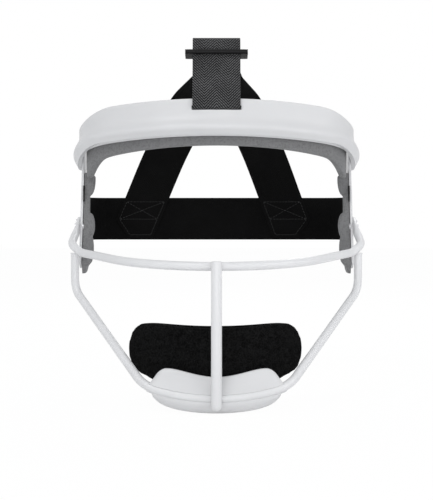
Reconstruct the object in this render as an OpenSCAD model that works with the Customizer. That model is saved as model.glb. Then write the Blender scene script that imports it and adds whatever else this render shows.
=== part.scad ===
// Softball face guard: brow band, face frame, bar cage, chin cup, pads and head straps.
// The origin is the middle of the space for the head, level with the rear strap.
// +X is the wearer's left, -Y is the way the face looks, +Z is up.

/* [Brow band] */
// Half of the inside width between the band's two ends
band_half_w = 154.5; // [140:0.5:165]
// Distance from the origin forward to the band's inside face
band_front = 87; // [70:1:100]
// Height of the band's lower lip at the front
band_lip_z = 88.6; // [70:0.5:100]
// Radius of the band's front, seen from above
band_front_r = 240; // [200:5:320]
// Radius of the band's sides, seen from above
band_side_r = 75; // [55:1:90]
// Straight length of the band behind its side curve
band_tail = 9; // [4:1:20]
// Height of the band
band_h = 38.2; // [34:0.1:50]
// Wall of the band
band_wall = 3; // [2.2:0.1:4.5]
// How far the lower ridge stands out from the wall
ridge_out = 6.5; // [3:0.1:10]
// Height of the ridge's crown above the lip
ridge_z = 7.5; // [6:0.1:12]
// Fall of the band for each millimetre that it runs back
band_fall = 0.19; // [0:0.01:0.3]
// Extra depth of the lip at the band's ends
end_drop = 13; // [0:0.5:18]
// Fall of the band's top edge at its ends
top_round = 10; // [0:0.5:14]

/* [Face frame] */
// Wall of the strip behind the band
strip_wall = 2.5; // [1.8:0.1:4]
// Wall of the side arms
arm_wall = 2.8; // [2:0.1:4.5]
// Depth of the arm's tip below the origin
arm_tip_z = 56.5; // [45:1:70]
// Place of the arm's strap slot behind the origin
arm_slot_y = 11.5; // [8:0.5:16]
// Web of the arm behind the strap slot
arm_web = 6; // [4:0.5:10]

/* [Bars] */
// Diameter of the nose bar and the jaw bar
bar_d = 8.8; // [7:0.1:12]
// Diameter of the centre bar
centre_d = 10.5; // [8:0.1:12]
// Distance from the origin forward to the nose bar's centre line
nose_front = 179; // [165:1:195]
// Depth of the nose bar's centre line at the front
nose_z = 47; // [40:1:56]
// Radius of the nose bar's front
nose_r = 130; // [110:1:150]
// Angle between the nose bar's sides and straight ahead
nose_side_angle = 35; // [30:1:40]
// Rise of the nose bar for each millimetre that it runs back
nose_rise = 0.09; // [0.05:0.01:0.12]
// Distance from the origin forward to the jaw bar's centre line
jaw_front = 178.9; // [165:0.1:195]
// Depth of the jaw bar's centre line at the chin
jaw_z = 174.8; // [160:0.1:190]
// Depth at which the jaw bar turns in from the vertical
jaw_turn_z = 77; // [65:1:90]
// Length of the centre bar below the jaw bar's centre line
centre_tail = 10.5; // [6:0.5:14]
// Thickness of the nose bar's flattened ends
paddle_t = 4.4; // [3:0.1:6]
// Width of the nose bar's flattened ends
paddle_w = 15; // [12:0.5:18]
// Depth to which welded bars run into each other
weld_bite = 0.5; // [0.2:0.1:0.8]

/* [Chin] */
// Wall of the chin cup
cup_wall = 3; // [2.4:0.1:4]
// Height of the cup above the jaw bar's centre line, at the chin
cup_up = 19.6; // [16:0.1:26]
// Extra height of the cup's two humps
cup_hump = 3.4; // [0:0.1:6]
// Height of the cup below the jaw bar's centre line
cup_down = 15.4; // [13:0.1:20]
// Depth of the cup's floor behind the jaw bar's centre line
cup_floor = 22; // [16:1:30]
// Radius of the chin pad's front, seen from above
chin_pad_r = 111; // [100:1:125]
// Half of the chin pad's opening angle
chin_pad_angle = 52.4; // [42:0.1:56]
// Thickness of the chin pad
chin_pad_t = 16; // [10:1:22]
// Depth of the chin pad's upper edge below the origin
chin_pad_top = 106.6; // [98:0.1:112]
// Depth of the chin pad's lower edge below the origin
chin_pad_low = 176; // [166:0.5:182]

/* [Pads] */
// Gap between a pad and what carries it, filled by hook tape
pad_gap = 1.6; // [1.2:0.1:3]
// Thickness of the brow pad
brow_pad_t = 9.5; // [6:0.5:14]
// How far the brow pad hangs below the lip
brow_pad_drop = 11; // [4:0.5:14]
// Thickness of the temple pads between their lobes
temple_pad_t = 7; // [5:0.5:10]
// How far the temple pads' largest lobe stands out
lobe_t = 6.7; // [3:0.1:9]

/* [Straps] */
// Width of the top strap
top_strap_w = 50.8; // [44:0.1:54]
// Width of the two crown straps
crown_strap_w = 49.5; // [40:0.5:52]
// Width of the rear strap
rear_strap_w = 50.8; // [44:0.1:54]
// Thickness of the webbing
web_t = 2; // [1.4:0.1:2.4]
// Distance from the origin back to the rear strap
rear_y = 74.2; // [64:0.2:90]
// Backward lean of the top strap in degrees
strap_lean = 10; // [4:1:14]
// Length of the top strap from the band's top to its loop
strap_rise = 64.5; // [58:0.5:74]
// Distance between the top strap's two runs
strap_runs = 8.8; // [8:0.1:10]
// Height of the slider along the top strap
slider_rise = 47.7; // [46:0.1:52]
// Thickness of the slider's outer bars
slider_t = 5; // [3.5:0.1:6]
// Width of the slider across the webbing
slider_w = 66.5; // [62:0.5:74]
// Distance of the left crown strap's end from the centre, on the rear strap
crown_left_x = 95.5; // [85:0.5:105]
// Distance of the right crown strap's end from the centre, on the rear strap
crown_right_x = 104.5; // [85:0.5:110]

/* [Fasteners] */
// Shank diameter of the screws
screw_d = 3.5; // [3:0.1:4]
// Head diameter of the screws
screw_head_d = 7; // [6:0.1:8]
// Shank diameter of the rivets
rivet_d = 4; // [3:0.1:5]

/* [Hidden] */
bar_r = bar_d / 2;
fit_gap = 0.2;
skin_gap = 0.1;
tape_t = pad_gap - 2 * fit_gap;
layer = web_t + fit_gap;
round_fn = 32;

// Plain vector help
function unit(v) = v / norm(v);
function flip_x(p) = [-p.x, p.y, p.z];
function mix(a, b, t) = a + (b - a) * t;
function smooth(a, b, x) = let (t = min(1, max(0, (x - a) / (b - a)))) t * t * (3 - 2 * t);
function power(v, e) = sign(v) * pow(abs(v), e);

function total(v) = v * [for (p = v) 1];
function centre_of(ring) = [for (i = [0 : 2]) total([for (p = ring) p[i]]) / len(ring)];
function area_way(ring) = let (n = len(ring), c = [for (j = [0 : n - 1]) cross(ring[j] - ring[0], ring[(j + 1) % n] - ring[0])])
    [for (i = [0 : 2]) total([for (p = c) p[i]])];

// A closed solid through rings of points that all have the same length
module loft(rings) {
    n = len(rings[0]);
    last = len(rings) - 1;
    middle = floor(last / 2);
    way = centre_of(rings[middle + 1]) - centre_of(rings[middle]);
    turned = area_way(rings[middle]) * way < 0;
    order = turned ? [for (j = [n - 1 : -1 : 0]) j] : [for (j = [0 : n - 1]) j];
    sides = [for (i = [0 : last - 1], j = [0 : n - 1]) let (k = (j + 1) % n)
             each [[i * n + j, (i + 1) * n + j, i * n + k], [i * n + k, (i + 1) * n + j, (i + 1) * n + k]]];
    polyhedron([for (ring = rings) for (j = order) ring[j]],
               concat([[for (j = [0 : n - 1]) j]], sides, [[for (j = [n - 1 : -1 : 0]) last * n + j]]),
               convexity = 6);
}

// Corner of a path, rounded to a radius: where it starts, its two directions, its centre and its turn
function corner(a, b, c, r) =
    let (d1 = unit(b - a), d2 = unit(c - b), turn = acos(d1 * d2), side = unit(d2 - d1 * (d1 * d2)),
         start = b - d1 * r * tan(turn / 2))
    [start, d1, side, start + side * r, turn, r];
function corner_point(k, t) = k[3] + k[5] * (k[1] * sin(k[4] * t) - k[2] * cos(k[4] * t));
function corner_way(k, t) = k[1] * cos(k[4] * t) + k[2] * sin(k[4] * t);

// Flat path with rounded corners, as points; a corner is [x, y, radius]
function flat(p) = [p.x, p.y];
function open_path(path, steps = 6) = concat([flat(path[0])],
    [for (i = [1 : len(path) - 2])
        let (k = corner(flat(path[i - 1]), flat(path[i]), flat(path[i + 1]), path[i].z))
        each [for (j = [0 : steps]) corner_point(k, j / steps)]],
    [flat(path[len(path) - 1])]);
function closed_path(path, steps = 5) =
    [for (i = [0 : len(path) - 1])
        let (n = len(path),
             k = corner(flat(path[(i + n - 1) % n]), flat(path[i]), flat(path[(i + 1) % n]), path[i].z))
        each [for (j = [0 : steps]) corner_point(k, j / steps)]];

// Normal of a flat path at its point i
function path_side(pts, i) =
    let (a = unit(pts[max(i, 1)] - pts[max(i, 1) - 1]),
         b = unit(pts[min(i, len(pts) - 2) + 1] - pts[min(i, len(pts) - 2)]), m = unit(a + b))
    [-m.y, m.x];
// Rings of webbing of thickness t and width w that follows a flat path, seen from above or from the side
function web_rings(pts, t, w, upright) = [for (i = [0 : len(pts) - 1])
    let (a = pts[i] + path_side(pts, i) * t / 2, b = pts[i] - path_side(pts, i) * t / 2)
    upright ? [[a.x, a.y, -w / 2], [a.x, a.y, w / 2], [b.x, b.y, w / 2], [b.x, b.y, -w / 2]]
    : [[-w / 2, a.x, a.y], [w / 2, a.x, a.y], [w / 2, b.x, b.y], [-w / 2, b.x, b.y]]];

// A plane frame: local X, Y and Z laid along three directions at a place
module lay(x, y, z, at) {
    multmatrix([[x.x, y.x, z.x, at.x], [x.y, y.y, z.y, at.y], [x.z, y.z, z.z, at.z], [0, 0, 0, 1]])
        children();
}

// Round rod between two points
module rod(a, b, r) {
    z = unit(b - a);
    x = unit(cross(z, abs(z.z) < 0.9 ? [0, 0, 1] : [1, 0, 0]));
    lay(x, cross(z, x), z, a) cylinder(h = norm(b - a), r = r, $fn = round_fn);
}

// Stations of a bar that turns each corner at its own radius: place and way at each
bar_sides = 16;
function bar_stations(points, radii, counts) = let (last = len(points) - 1)
    concat([[points[0], unit(points[1] - points[0])]],
           [for (i = [1 : last - 1])
               let (k = corner(points[i - 1], points[i], points[i + 1], radii[i - 1]))
               each [for (j = [0 : counts[i - 1]])
                   [corner_point(k, j / counts[i - 1]), corner_way(k, j / counts[i - 1])]]],
           [[points[last], unit(points[last] - points[last - 1])]]);
// Ring square to the way: a along the reference direction, b across it, e makes it squarer
function bar_ring(station, ref, a, b, e = 1) =
    let (w = station[1], up = unit(ref - w * (w * ref)), across = cross(w, up))
    [for (j = [0 : bar_sides - 1]) let (t = (j + 0.5) * 360 / bar_sides)
        station[0] + up * a * power(cos(t), e) + across * b * power(sin(t), e)];

module both_sides() {
    children();
    mirror([1, 0, 0]) children();
}

// Plan of the band's inside face, by distance s from the middle of the front
band_turn = asin((band_half_w - band_side_r) / (band_front_r - band_side_r));
front_run = band_front_r * band_turn * PI / 180;
side_run = band_side_r * (90 - band_turn) * PI / 180;
band_end = front_run + side_run + band_tail;
side_centre = [(band_front_r - band_side_r) * sin(band_turn),
               band_front_r - band_front - (band_front_r - band_side_r) * cos(band_turn)];
function band_angle(s) = s < front_run ? s / band_front_r * 180 / PI
    : min(90, band_turn + (s - front_run) / band_side_r * 180 / PI);
function band_plan(s) = let (a = band_angle(s))
    s < front_run ? [band_front_r * sin(a), band_front_r * (1 - cos(a)) - band_front]
    : side_centre + band_side_r * [sin(a), -cos(a)] + [0, max(0, s - front_run - side_run)];
// u is outward from the inside face, v is up from the lip
function band_point(s, u, v) =
    let (a = band_angle(abs(s)), p = band_plan(abs(s)), side = s < 0 ? -1 : 1)
    [side * (p.x + u * sin(a)), p.y - u * cos(a), band_lip_z + v - band_fall * (p.y + band_front)];
function steps(a, b, n) = [for (i = [0 : n]) a + (b - a) * i / n];

// Band section: a wall with a ridge that falls away more slowly above its crown than below
ridge_above = 8;
ridge_below = 6.5;
band_edge = 1.4;
function top_drop(s) = top_round * smooth(front_run - 6, band_end - 25, abs(s));
function band_outside(v) = band_wall
    + ridge_out * exp(-pow((v - ridge_z) / (v > ridge_z ? ridge_above : ridge_below), 2));
function band_section() = concat(
    [[0, 0.6]],
    [for (v = concat(steps(0, ridge_z * 2, 8), [ridge_z * 2.6, ridge_z * 3.4, band_h - band_edge]))
        [band_outside(v), v]],
    [[band_wall - band_edge * 0.4, band_h - band_edge * 0.3], [band_wall - band_edge, band_h],
     [0.5, band_h], [0, band_h - 0.6]]);
end_round = 7;
function band_ring(s) =
    let (k = smooth(band_end - 75, band_end, abs(s)),
         e = max(0, (abs(s) - band_end + end_round) / end_round), thin = sqrt(1 - 0.72 * e * e))
    [for (p = band_section()) let (f = p.y / band_h)
        band_point(s, p.x * thin, p.y - k * end_drop * pow(1 - f, 1.5) - top_drop(s) * f * f * f)];
band_stations = concat([for (t = steps(0, 1, 3)) -band_end + end_round * t * t],
                       steps(-band_end + end_round + 4, band_end - end_round - 4, 44),
                       [for (t = steps(1, 0, 3)) band_end - end_round * t * t]);

// Slot for the top strap through the band's front
strap_slot_h = 5;
strap_slot_v = 25.9;
screw_places = [48, 112, 178];

module brow_band() {
    color("white") difference() {
        loft([for (s = band_stations) band_ring(s)]);
        translate([0, -band_front, band_lip_z + strap_slot_v + strap_slot_h / 2])
            cube([top_strap_w + 1.8, 4 * band_wall, strap_slot_h], center = true);
        for (s = screw_places, side = [-1, 1])
            rod(band_point(side * s, -1, ridge_z), band_point(side * s, screw_bite, ridge_z), screw_d / 2);
    }
}
screw_bite = band_wall + ridge_out - 3;

// Side arm, seen from the side, as a flat plate inside the band
arm_outer = band_half_w - skin_gap - 0.95;
arm_inner = arm_outer - arm_wall;
arm_front = -29;
slot_gap = 2 * web_t + 1.5;
arm_back = arm_slot_y + slot_gap + arm_web;
arm_slot_h = rear_strap_w + 1.8;
arm_top_z = band_lip_z + 7.4;
arm_lip_z = band_lip_z - 22.6;
arm_knee_z = -33;
arm_outline = [[-1.5, arm_top_z, 3], [-3, arm_lip_z, 30], [-26, arm_knee_z, 40], [arm_front, 6 - arm_tip_z, 5],
               [arm_front + 9, -arm_tip_z, 6], [-8, 3 - arm_tip_z, 12], [2, -arm_slot_h / 2 - 8, 12],
               [arm_back, -arm_slot_h / 2 - 6, 7], [arm_back, arm_slot_h / 2 + 7, 7],
               [13, arm_lip_z - 14, 25], [12, arm_top_z, 3]];

module arm_plate() {
    rotate([90, 0, 90]) translate([0, 0, -arm_outer]) linear_extrude(arm_wall) difference() {
        polygon(closed_path(arm_outline));
        translate([arm_slot_y, -arm_slot_h / 2]) square([slot_gap, arm_slot_h]);
    }
}

strip_top = 33;
strip_front = -fit_gap;
strip_back = strip_front - strip_wall;
module face_frame() {
    color("white") difference() {
        union() {
            loft([for (s = steps(-band_end + 6, band_end - 6, 36))
                [for (p = [[strip_front, -1.2], [strip_front, strip_top], [strip_back, strip_top],
                           [strip_back, -1.2]])
                    band_point(s, p.x, p.y - top_drop(s) * max(0, p.y / strip_top))]]);
            both_sides() arm_plate();
        }
        translate([0, -band_front, band_lip_z + strap_slot_v + 20])
            cube([top_strap_w + 8, 6 * strip_wall, 46], center = true);
        for (s = screw_places, side = [-1, 1])
            rod(band_point(side * s, 4, ridge_z), band_point(side * s, -8, ridge_z),
                screw_d / 2 + fit_gap);
        both_sides() for (t = rivet_places)
            rod(leg_point(t) + [8, 0, 0], leg_point(t) + [-8, 0, 0], rivet_d / 2 + skin_gap);
    }
}

head_t = 0.9;
module band_screws() {
    color("silver") for (s = screw_places, side = [-1, 1]) {
        seat = strip_back - fit_gap - skin_gap;
        rod(band_point(side * s, seat, ridge_z),
            band_point(side * s, screw_bite - 0.6, ridge_z), screw_d / 2 - skin_gap);
        rod(band_point(side * s, seat - head_t, ridge_z),
            band_point(side * s, seat, ridge_z), screw_head_d / 2);
    }
}

// Nose bar: legs beside the arms, a jog down, and a hoop that rises a little towards the back
leg_slope = 25.7;
leg_way = [0, cos(leg_slope), sin(leg_slope)];
leg_out = arm_outer + 4.75;
leg_bend_y = -57;
leg_bend_z = -28.5;
paddle_x = arm_outer + skin_gap + paddle_t / 2;
function leg_point(t) = [-paddle_x, leg_bend_y, leg_bend_z] + leg_way * t;
round_end = 19;
paddle_start = 35;
paddle_end = 60;
rivet_places = [44, 55];
hoop_side_y = -68;
hoop_slant = sqrt(1 + nose_rise * nose_rise);
hoop_apex = (nose_r / cos(atan(hoop_slant / tan(nose_side_angle))) - nose_r) / hoop_slant;
function hoop_z(y) = -nose_z + nose_rise * (y + nose_front);
function hoop_x(y) = (y + nose_front + hoop_apex) * tan(nose_side_angle);
hoop_corner = [-hoop_x(hoop_side_y), hoop_side_y, hoop_z(hoop_side_y)];
hoop_tip_y = -nose_front - hoop_apex;
leg_bend = [-leg_out, leg_bend_y, leg_bend_z];
leg_end = leg_bend + leg_way * round_end + [1.2, 0, 0];
nose_points = [leg_end, leg_bend, hoop_corner, [0, hoop_tip_y, hoop_z(hoop_tip_y)],
               flip_x(hoop_corner), flip_x(leg_bend), flip_x(leg_end)];

nose_stations = bar_stations(nose_points, [20, 20, nose_r, 20, 20], [4, 4, 18, 4, 4]);

// The bar's end turns from round to flat along the leg and closes in a round tongue
paddle_rows = concat([for (t = [0.45, 1]) [mix(round_end, paddle_start, t), t, 1]],
                     [for (a = steps(0, 75, 4)) [paddle_end - paddle_w / 2 * (1 - sin(a)), 1, cos(a)]]);
function paddle_ring(row, side) = let (p = leg_point(row[0]), w = mix(bar_r, paddle_w / 2, row[1]) * row[2])
    bar_ring([side > 0 ? mix(leg_end, p, row[1]) : flip_x(mix(leg_end, p, row[1])),
              [0, -side * leg_way.y, -side * leg_way.z]], [0, 0, 1], w, mix(bar_r, paddle_t / 2, row[1]),
             mix(1, 0.5, row[1]));

module nose_bar() {
    last = len(paddle_rows) - 1;
    color("white") difference() {
        loft(concat([for (i = [last : -1 : 0]) paddle_ring(paddle_rows[i], 1)],
                    [for (k = nose_stations) bar_ring(k, [0, 0, 1], bar_r, bar_r)],
                    [for (i = [0 : last]) paddle_ring(paddle_rows[i], -1)]));
        both_sides() for (t = rivet_places)
            rod(leg_point(t) + [8, 0, 0], leg_point(t) + [-8, 0, 0], rivet_d / 2 + skin_gap);
    }
}

rivet_head_t = 1.5;
washer_t = 0.7;
module bar_rivets() {
    color("silver") both_sides() for (t = rivet_places) {
        outside = leg_point(t) - [paddle_t / 2 + skin_gap, 0, 0];
        inside = leg_point(t) + [paddle_t / 2 + arm_wall + washer_t + 3 * skin_gap, 0, 0];
        rod(outside, inside, rivet_d / 2);
        rod(outside - [rivet_head_t, 0, 0], outside, rivet_d);
        rod(inside, inside + [0.5, 0, 0], rivet_d * 0.8);
    }
}

module rivet_washers() {
    color("silver") both_sides() for (t = rivet_places) {
        at = leg_point(t) + [paddle_t / 2 + arm_wall + 2 * skin_gap, 0, 0];
        difference() {
            rod(at, at + [washer_t, 0, 0], rivet_d * 1.1);
            rod(at - [1, 0, 0], at + [washer_t + 1, 0, 0], rivet_d / 2 + skin_gap);
        }
    }
}

// Jaw bar: posts under the nose bar, slanting sides and a shallow bow round the chin
post_x = leg_out - 5;
post_y = -62;
chin_bow_r = 170;
chin_slope = 19;
chin_dip = 42;
chin_corner_run = 15.6;
// The bow bulges forward and down; its tangents meet beyond its middle, and each side point lies on one of them
chin_way = [0, -cos(chin_dip), -sin(chin_dip)];
chin_half = chin_bow_r * sin(chin_slope) + chin_corner_run;
chin_tip = [0, -jaw_front, -jaw_z] + chin_way * chin_bow_r * (1 / cos(chin_slope) - 1);
chin_side = chin_tip - chin_way * chin_half * tan(chin_slope) - [chin_half, 0, 0];
jaw_turn = [-post_x, post_y, -jaw_turn_z];
chin_turn = acos(unit(chin_side - jaw_turn) * unit(chin_tip - chin_side));
chin_corner_r = min(43, (chin_corner_run / cos(chin_slope) - skin_gap) / tan(chin_turn / 2));
// The rounded corners of the nose bar dip below its straight run where the post meets it
corner_dip = 1.23;
post_top = mix(leg_bend_z, hoop_corner.z, (post_y - leg_bend_y) / (hoop_side_y - leg_bend_y))
    - corner_dip - bar_r + weld_bite;
jaw_points = [[-post_x, post_y, post_top], jaw_turn, chin_side, chin_tip,
              flip_x(chin_side), flip_x(jaw_turn), [post_x, post_y, post_top]];
jaw_radii = [22, chin_corner_r, chin_bow_r, chin_corner_r, 22];
jaw_stations = bar_stations(jaw_points, jaw_radii, [5, 9, 10, 9, 5]);

module jaw_bar() {
    color("white") difference() {
        loft([for (k = jaw_stations) bar_ring(k, [0, 1, 0], bar_r, bar_r)]);
        cup_screw_holes(screw_d / 2, cup_screw_reach);
    }
}

// Centre bar: welded to the front of both bars, with a round lower end
centre_r = centre_d / 2;
centre_y = -min(nose_front, jaw_front) - bar_r - centre_r + weld_bite;
module centre_bar() {
    foot = [0, centre_y, -jaw_z - centre_tail + centre_r];
    color("white") {
        rod([0, centre_y, -nose_z + centre_r], foot, centre_r);
        translate(foot) sphere(centre_r, $fn = round_fn);
    }
}

// Chin cup: a shell swept along the jaw bar's bow, with a channel that snaps round the bar
channel_r = bar_r + 0.35;
channel_open = 50;
cup_end = 0.36;
bow = corner(jaw_points[2], jaw_points[3], jaw_points[4], chin_bow_r);
bow_side = corner(jaw_points[1], jaw_points[2], jaw_points[3], jaw_radii[1]);
cup_path = concat([for (t = steps(1 - cup_end, 1, 9)) [corner_point(bow_side, t), corner_way(bow_side, t)]],
                  [for (t = steps(0, 1, 12)) [corner_point(bow, t), corner_way(bow, t)]],
                  [for (t = steps(1, 1 - cup_end, 9)) let (w = corner_way(bow_side, t))
                      [flip_x(corner_point(bow_side, t)), [w.x, -w.y, -w.z]]]);
cup_half = -cup_path[0][0].x;
cup_least = channel_r + 1.2;
cup_hump_x = cup_half - 15.7;
cup_low_half = cup_half - 4.7;
// Section of the cup: n is forward from the bar's centre line, z is up
function cup_section(up, down) =
    let (c = channel_r, inner = -c - cup_wall, lip = c * sin(channel_open), rim = c * cos(channel_open) + 0.5)
    concat(
        [[inner + 1, up], [inner + 2.4, up + 0.4], [inner + 3.6, up - 0.6], [-2, mix(lip, up, 0.6)],
         [1.2, max(cup_least - 0.6, mix(lip, up, 0.25))],
         [rim, lip + 0.7]],
        [for (a = steps(channel_open, 360 - channel_open, 10)) [c * cos(a), c * sin(a)]],
        [[rim, -lip - 0.7], [2.6, -mix(lip, down, 0.35)], [0.8, -mix(lip, down, 0.7)], [-3, -down + 0.5],
         [-8, -down], [-cup_floor + 1, -down + 1], [-cup_floor, -down + 2.2], [-cup_floor + 1, -down + 3],
         [inner - 3, -down + cup_wall], [inner, -down + cup_wall + 2], [inner, lip],
         [inner, up - 1]]);
module chin_cup() {
    color("white") difference() {
        loft([for (k = cup_path)
            let (p = k[0], way = k[1], out = unit([way.y, -way.x, 0]), high = cross(out, way), x = abs(p.x),
                 f = sqrt(max(0, 1 - pow(x / (cup_half + 0.8), 10))),
                 g = sqrt(max(0, 1 - pow(min(1, x / cup_low_half), 6))),
                 hump = cup_hump * (1 - cos(min(1, x / cup_hump_x) * 180)) / 2)
            [for (q = cup_section(cup_least + (cup_up + hump - cup_least) * f,
                                  cup_least + (cup_down - cup_least) * g))
                p + out * max(q.x, -cup_floor * (0.45 + 0.55 * g)) + high * q.y]]);
        cup_screw_holes(screw_d / 2 + fit_gap, 0);
    }
}

// Screws from inside the cup into the jaw bar
cup_screw_steps = [0.12, 0.88];
cup_screw_reach = 0.6;
function cup_screw_at(t) = let (w = corner_way(bow, t)) [corner_point(bow, t), unit([w.y, -w.x, 0])];
module cup_screw_holes(r, reach) {
    for (t = cup_screw_steps) let (k = cup_screw_at(t))
        rod(k[0] - k[1] * (cup_floor - 2), k[0] + k[1] * reach, r);
}
module cup_screws() {
    color("silver") for (t = cup_screw_steps) let (k = cup_screw_at(t), seat = channel_r + cup_wall + fit_gap) {
        rod(k[0] - k[1] * seat, k[0] + k[1] * (cup_screw_reach - 0.6), screw_d / 2 - skin_gap);
        rod(k[0] - k[1] * (seat + head_t), k[0] - k[1] * seat, screw_head_d / 2);
    }
}

// Chin pad: a crowned cushion bent round the chin
chin_pad_front = -jaw_front + channel_r + cup_wall + pad_gap;
chin_end_z = -chin_pad_top - 25.4;
chin_pad_lift = 20.3;
module chin_pad() {
    hub = [0, chin_pad_front + chin_pad_r];
    color([0.07, 0.07, 0.08]) loft([for (i = [0 : 32])
        let (t = -cos(i * 180 / 32), a = t * chin_pad_angle, way = [sin(a), -cos(a)],
             f = sqrt(max(0.0009, 1 - pow(abs(t), 18))),
             top = mix(chin_end_z, -chin_pad_top + 4.6 * t * t - 10 * pow(t, 6), f),
             low = mix(chin_end_z, -chin_pad_low + chin_pad_lift * smooth(0.2, 0.95, abs(t)), f),
             thick = chin_pad_t * (0.3 + 0.7 * pow(max(0, 1 - pow(abs(t), 5)), 0.5)))
        [for (j = [0 : 15]) let (b = j * 360 / 16, n = thick / 2 * (1 + power(cos(b), 0.7)),
                                 r = chin_pad_r - thick + n, p = hub + way * r)
            [p.x, p.y, (top + low) / 2 + (top - low) / 2 * power(sin(b), 0.62)]]]);
}

module chin_hook_tape() {
    color("black") rotate([90, 0, 0]) translate([0, -jaw_z + 13, -chin_pad_front + fit_gap])
        linear_extrude(tape_t) square([15, 12], center = true);
}

// Brow pad: foam along the inside of the strip, hanging a little below the lip
pad_back = strip_back - pad_gap;
brow_pad_end = band_end - 30;
pad_top = 30;
function brow_drop(s) = brow_pad_drop + 2.2 * pow(s / 100, 2)
    + 11 * smooth(brow_pad_end - 45, brow_pad_end, abs(s));
module brow_pad() {
    color("gray") loft([for (s = steps(-brow_pad_end, brow_pad_end, 40))
        let (low = -brow_drop(s), top = pad_top - top_drop(s), mid = (top + low) / 2, half = (top - low) / 2,
             e = max(0, (abs(s) - brow_pad_end + 5) / 5), thick = brow_pad_t * (1 - 0.35 * e * e))
        [for (j = [0 : 13]) let (a = j * 360 / 14 + 12)
            band_point(s, pad_back - thick / 2 + thick / 2 * power(cos(a), 0.55),
                       mid + half * power(sin(a), 0.4))]]);
}

brow_tapes = [[-120, -86], [-18, 18], [86, 120]];
module brow_hook_tape() {
    near = pad_back + fit_gap;
    color("black") for (run = brow_tapes)
        loft([for (s = steps(run[0], run[1], 6))
            [for (p = [[near + tape_t, 13], [near + tape_t, 23], [near, 23], [near, 13]])
                band_point(s, p.x, p.y)]]);
}

// Temple pads: foam on the arms with three lobes, cut to the arm's front edge
temple_outer = arm_inner - pad_gap;
temple_top = 52;
temple_low = -arm_tip_z - 5;
// Middle, half height and share of the full thickness of each lobe
lobes = [[43.5, 17.5, 0.95], [-8.5, 15, 1], [-35, 19, 0.9]];
// The pads thin towards the back
temple_taper = 0.4;
function lobe_height(z) = max([for (k = lobes) k[2] * sqrt(max(0, 1 - pow((z - k[0]) / k[1], 2)))]);
function arm_edge(z) = z > arm_lip_z ? -3
    : mix(-3, -26, (arm_lip_z - z) / (arm_lip_z - arm_knee_z)) - max(0, arm_knee_z - z) * 0.16;
module temple_pad() {
    foot = 13;
    color("gray") loft([for (i = [0 : 46])
        let (z = temple_low + (temple_top - temple_low) * i / 46,
             toe = sqrt(min(1, max(0.02, (z - temple_low) / foot))),
             crest = smooth(temple_top + 0.1, temple_top - 5, z),
             thick = (temple_pad_t + lobe_t * lobe_height(z)) * (0.25 + 0.75 * toe) * (0.7 + 0.3 * crest),
             front = arm_edge(z) + 1.2 + 10 * (1 - toe), back = arm_slot_y - 2.5 - 8 * (1 - toe))
        [for (j = [0 : 12]) let (t = j / 12, y = mix(front, back, t))
            [-temple_outer + thick * (1 - temple_taper * t) * pow(1 - pow(abs(2 * t - 1), 6), 0.5), y, z]]]);
}
module temple_pad_right() {
    temple_pad();
}
module temple_pad_left() {
    mirror([1, 0, 0]) temple_pad();
}
module temple_hook_tape() {
    color("black") both_sides() for (z = [28, -36])
        translate([-temple_outer - tape_t - fit_gap, -16, z - 9]) cube([tape_t, 20, 18]);
}

// Top strap, seen from the side: tail inside the band, through the slot, up, over the loop and down
lean_way = [sin(strap_lean), cos(strap_lean)];
lean_back = [cos(strap_lean), -sin(strap_lean)];
strap_out = -band_front - band_wall - web_t / 2 - fit_gap;
strap_in = -band_front + top_strap_w * top_strap_w / 8 / band_front_r + web_t / 2 + fit_gap;
slot_floor = band_lip_z + strap_slot_v + web_t / 2 + 0.5;
band_top = band_lip_z + band_h;
strap_base = [strap_out, band_top + 2];
function strap_at(u, m) = strap_base + lean_way * u + lean_back * m;
function with_r(p, r) = [p.x, p.y, r];
turn_r = (strap_in - strap_out) / 2 - 0.01;
loop_r = strap_runs / 2 - 0.01;
rear_run_end = 32;
top_strap_path = [with_r(strap_at(30, layer), 0), with_r(strap_at(7, layer), 6), [strap_in, band_top - 0.4, 4],
                  [strap_in, slot_floor, turn_r], [strap_out, slot_floor, turn_r], with_r(strap_base, 20),
                  with_r(strap_at(strap_rise, 0), loop_r), with_r(strap_at(strap_rise, strap_runs), loop_r),
                  with_r(strap_at(rear_run_end, strap_runs), 0)];
module top_strap() {
    color([0.25, 0.25, 0.26]) loft(web_rings(open_path(top_strap_path), web_t, top_strap_w, false));
}

// Slider: a plate square to the runs, with a slot for each run and a slim bar between them
slider_bar = 4.5;
slider_slot_w = top_strap_w + 1.6;
slider_play = 0.5;
middle_bar = strap_runs / 2 - web_t / 2 - 2 * slider_play + 0.4;
middle_t = 3;
module slider() {
    at = strap_at(slider_rise, 0);
    front = -web_t / 2 - slider_play - slider_bar;
    back = strap_runs + web_t / 2 + slider_play + slider_bar;
    color("black") lay([1, 0, 0], [0, lean_back.x, lean_back.y], [0, lean_way.x, lean_way.y], [0, at.x, at.y]) {
        for (y = [front + slider_bar / 2, back - slider_bar / 2])
            translate([-slider_w / 2 + slider_t / 2, y, 0]) rotate([0, 90, 0])
                cylinder(h = slider_w - slider_t, d = slider_t, $fn = round_fn);
        for (x = [-1, 1], y = [front + slider_bar / 2, back - slider_bar / 2])
            translate([x * (slider_w - slider_t) / 2, y, 0]) sphere(d = slider_t, $fn = round_fn);
        for (side = [-1, 1])
            translate([side * (slider_slot_w + (slider_w - slider_slot_w) / 2) / 2 - (slider_w - slider_slot_w) / 4,
                       front + slider_bar / 2, -slider_t / 2])
                cube([(slider_w - slider_slot_w) / 2, back - front - slider_bar, slider_t]);
        translate([-slider_slot_w / 2 - 1, strap_runs / 2 - middle_bar, -middle_t / 2])
            cube([slider_slot_w + 2, 2 * middle_bar, middle_t]);
    }
}

// Crown straps: flat bands that run straight on a curved crown, from the top strap to the rear strap
crown_top = 40;
crown_bend = 25;
strap_end_z = 1.9 - rear_strap_w / 2;
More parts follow.
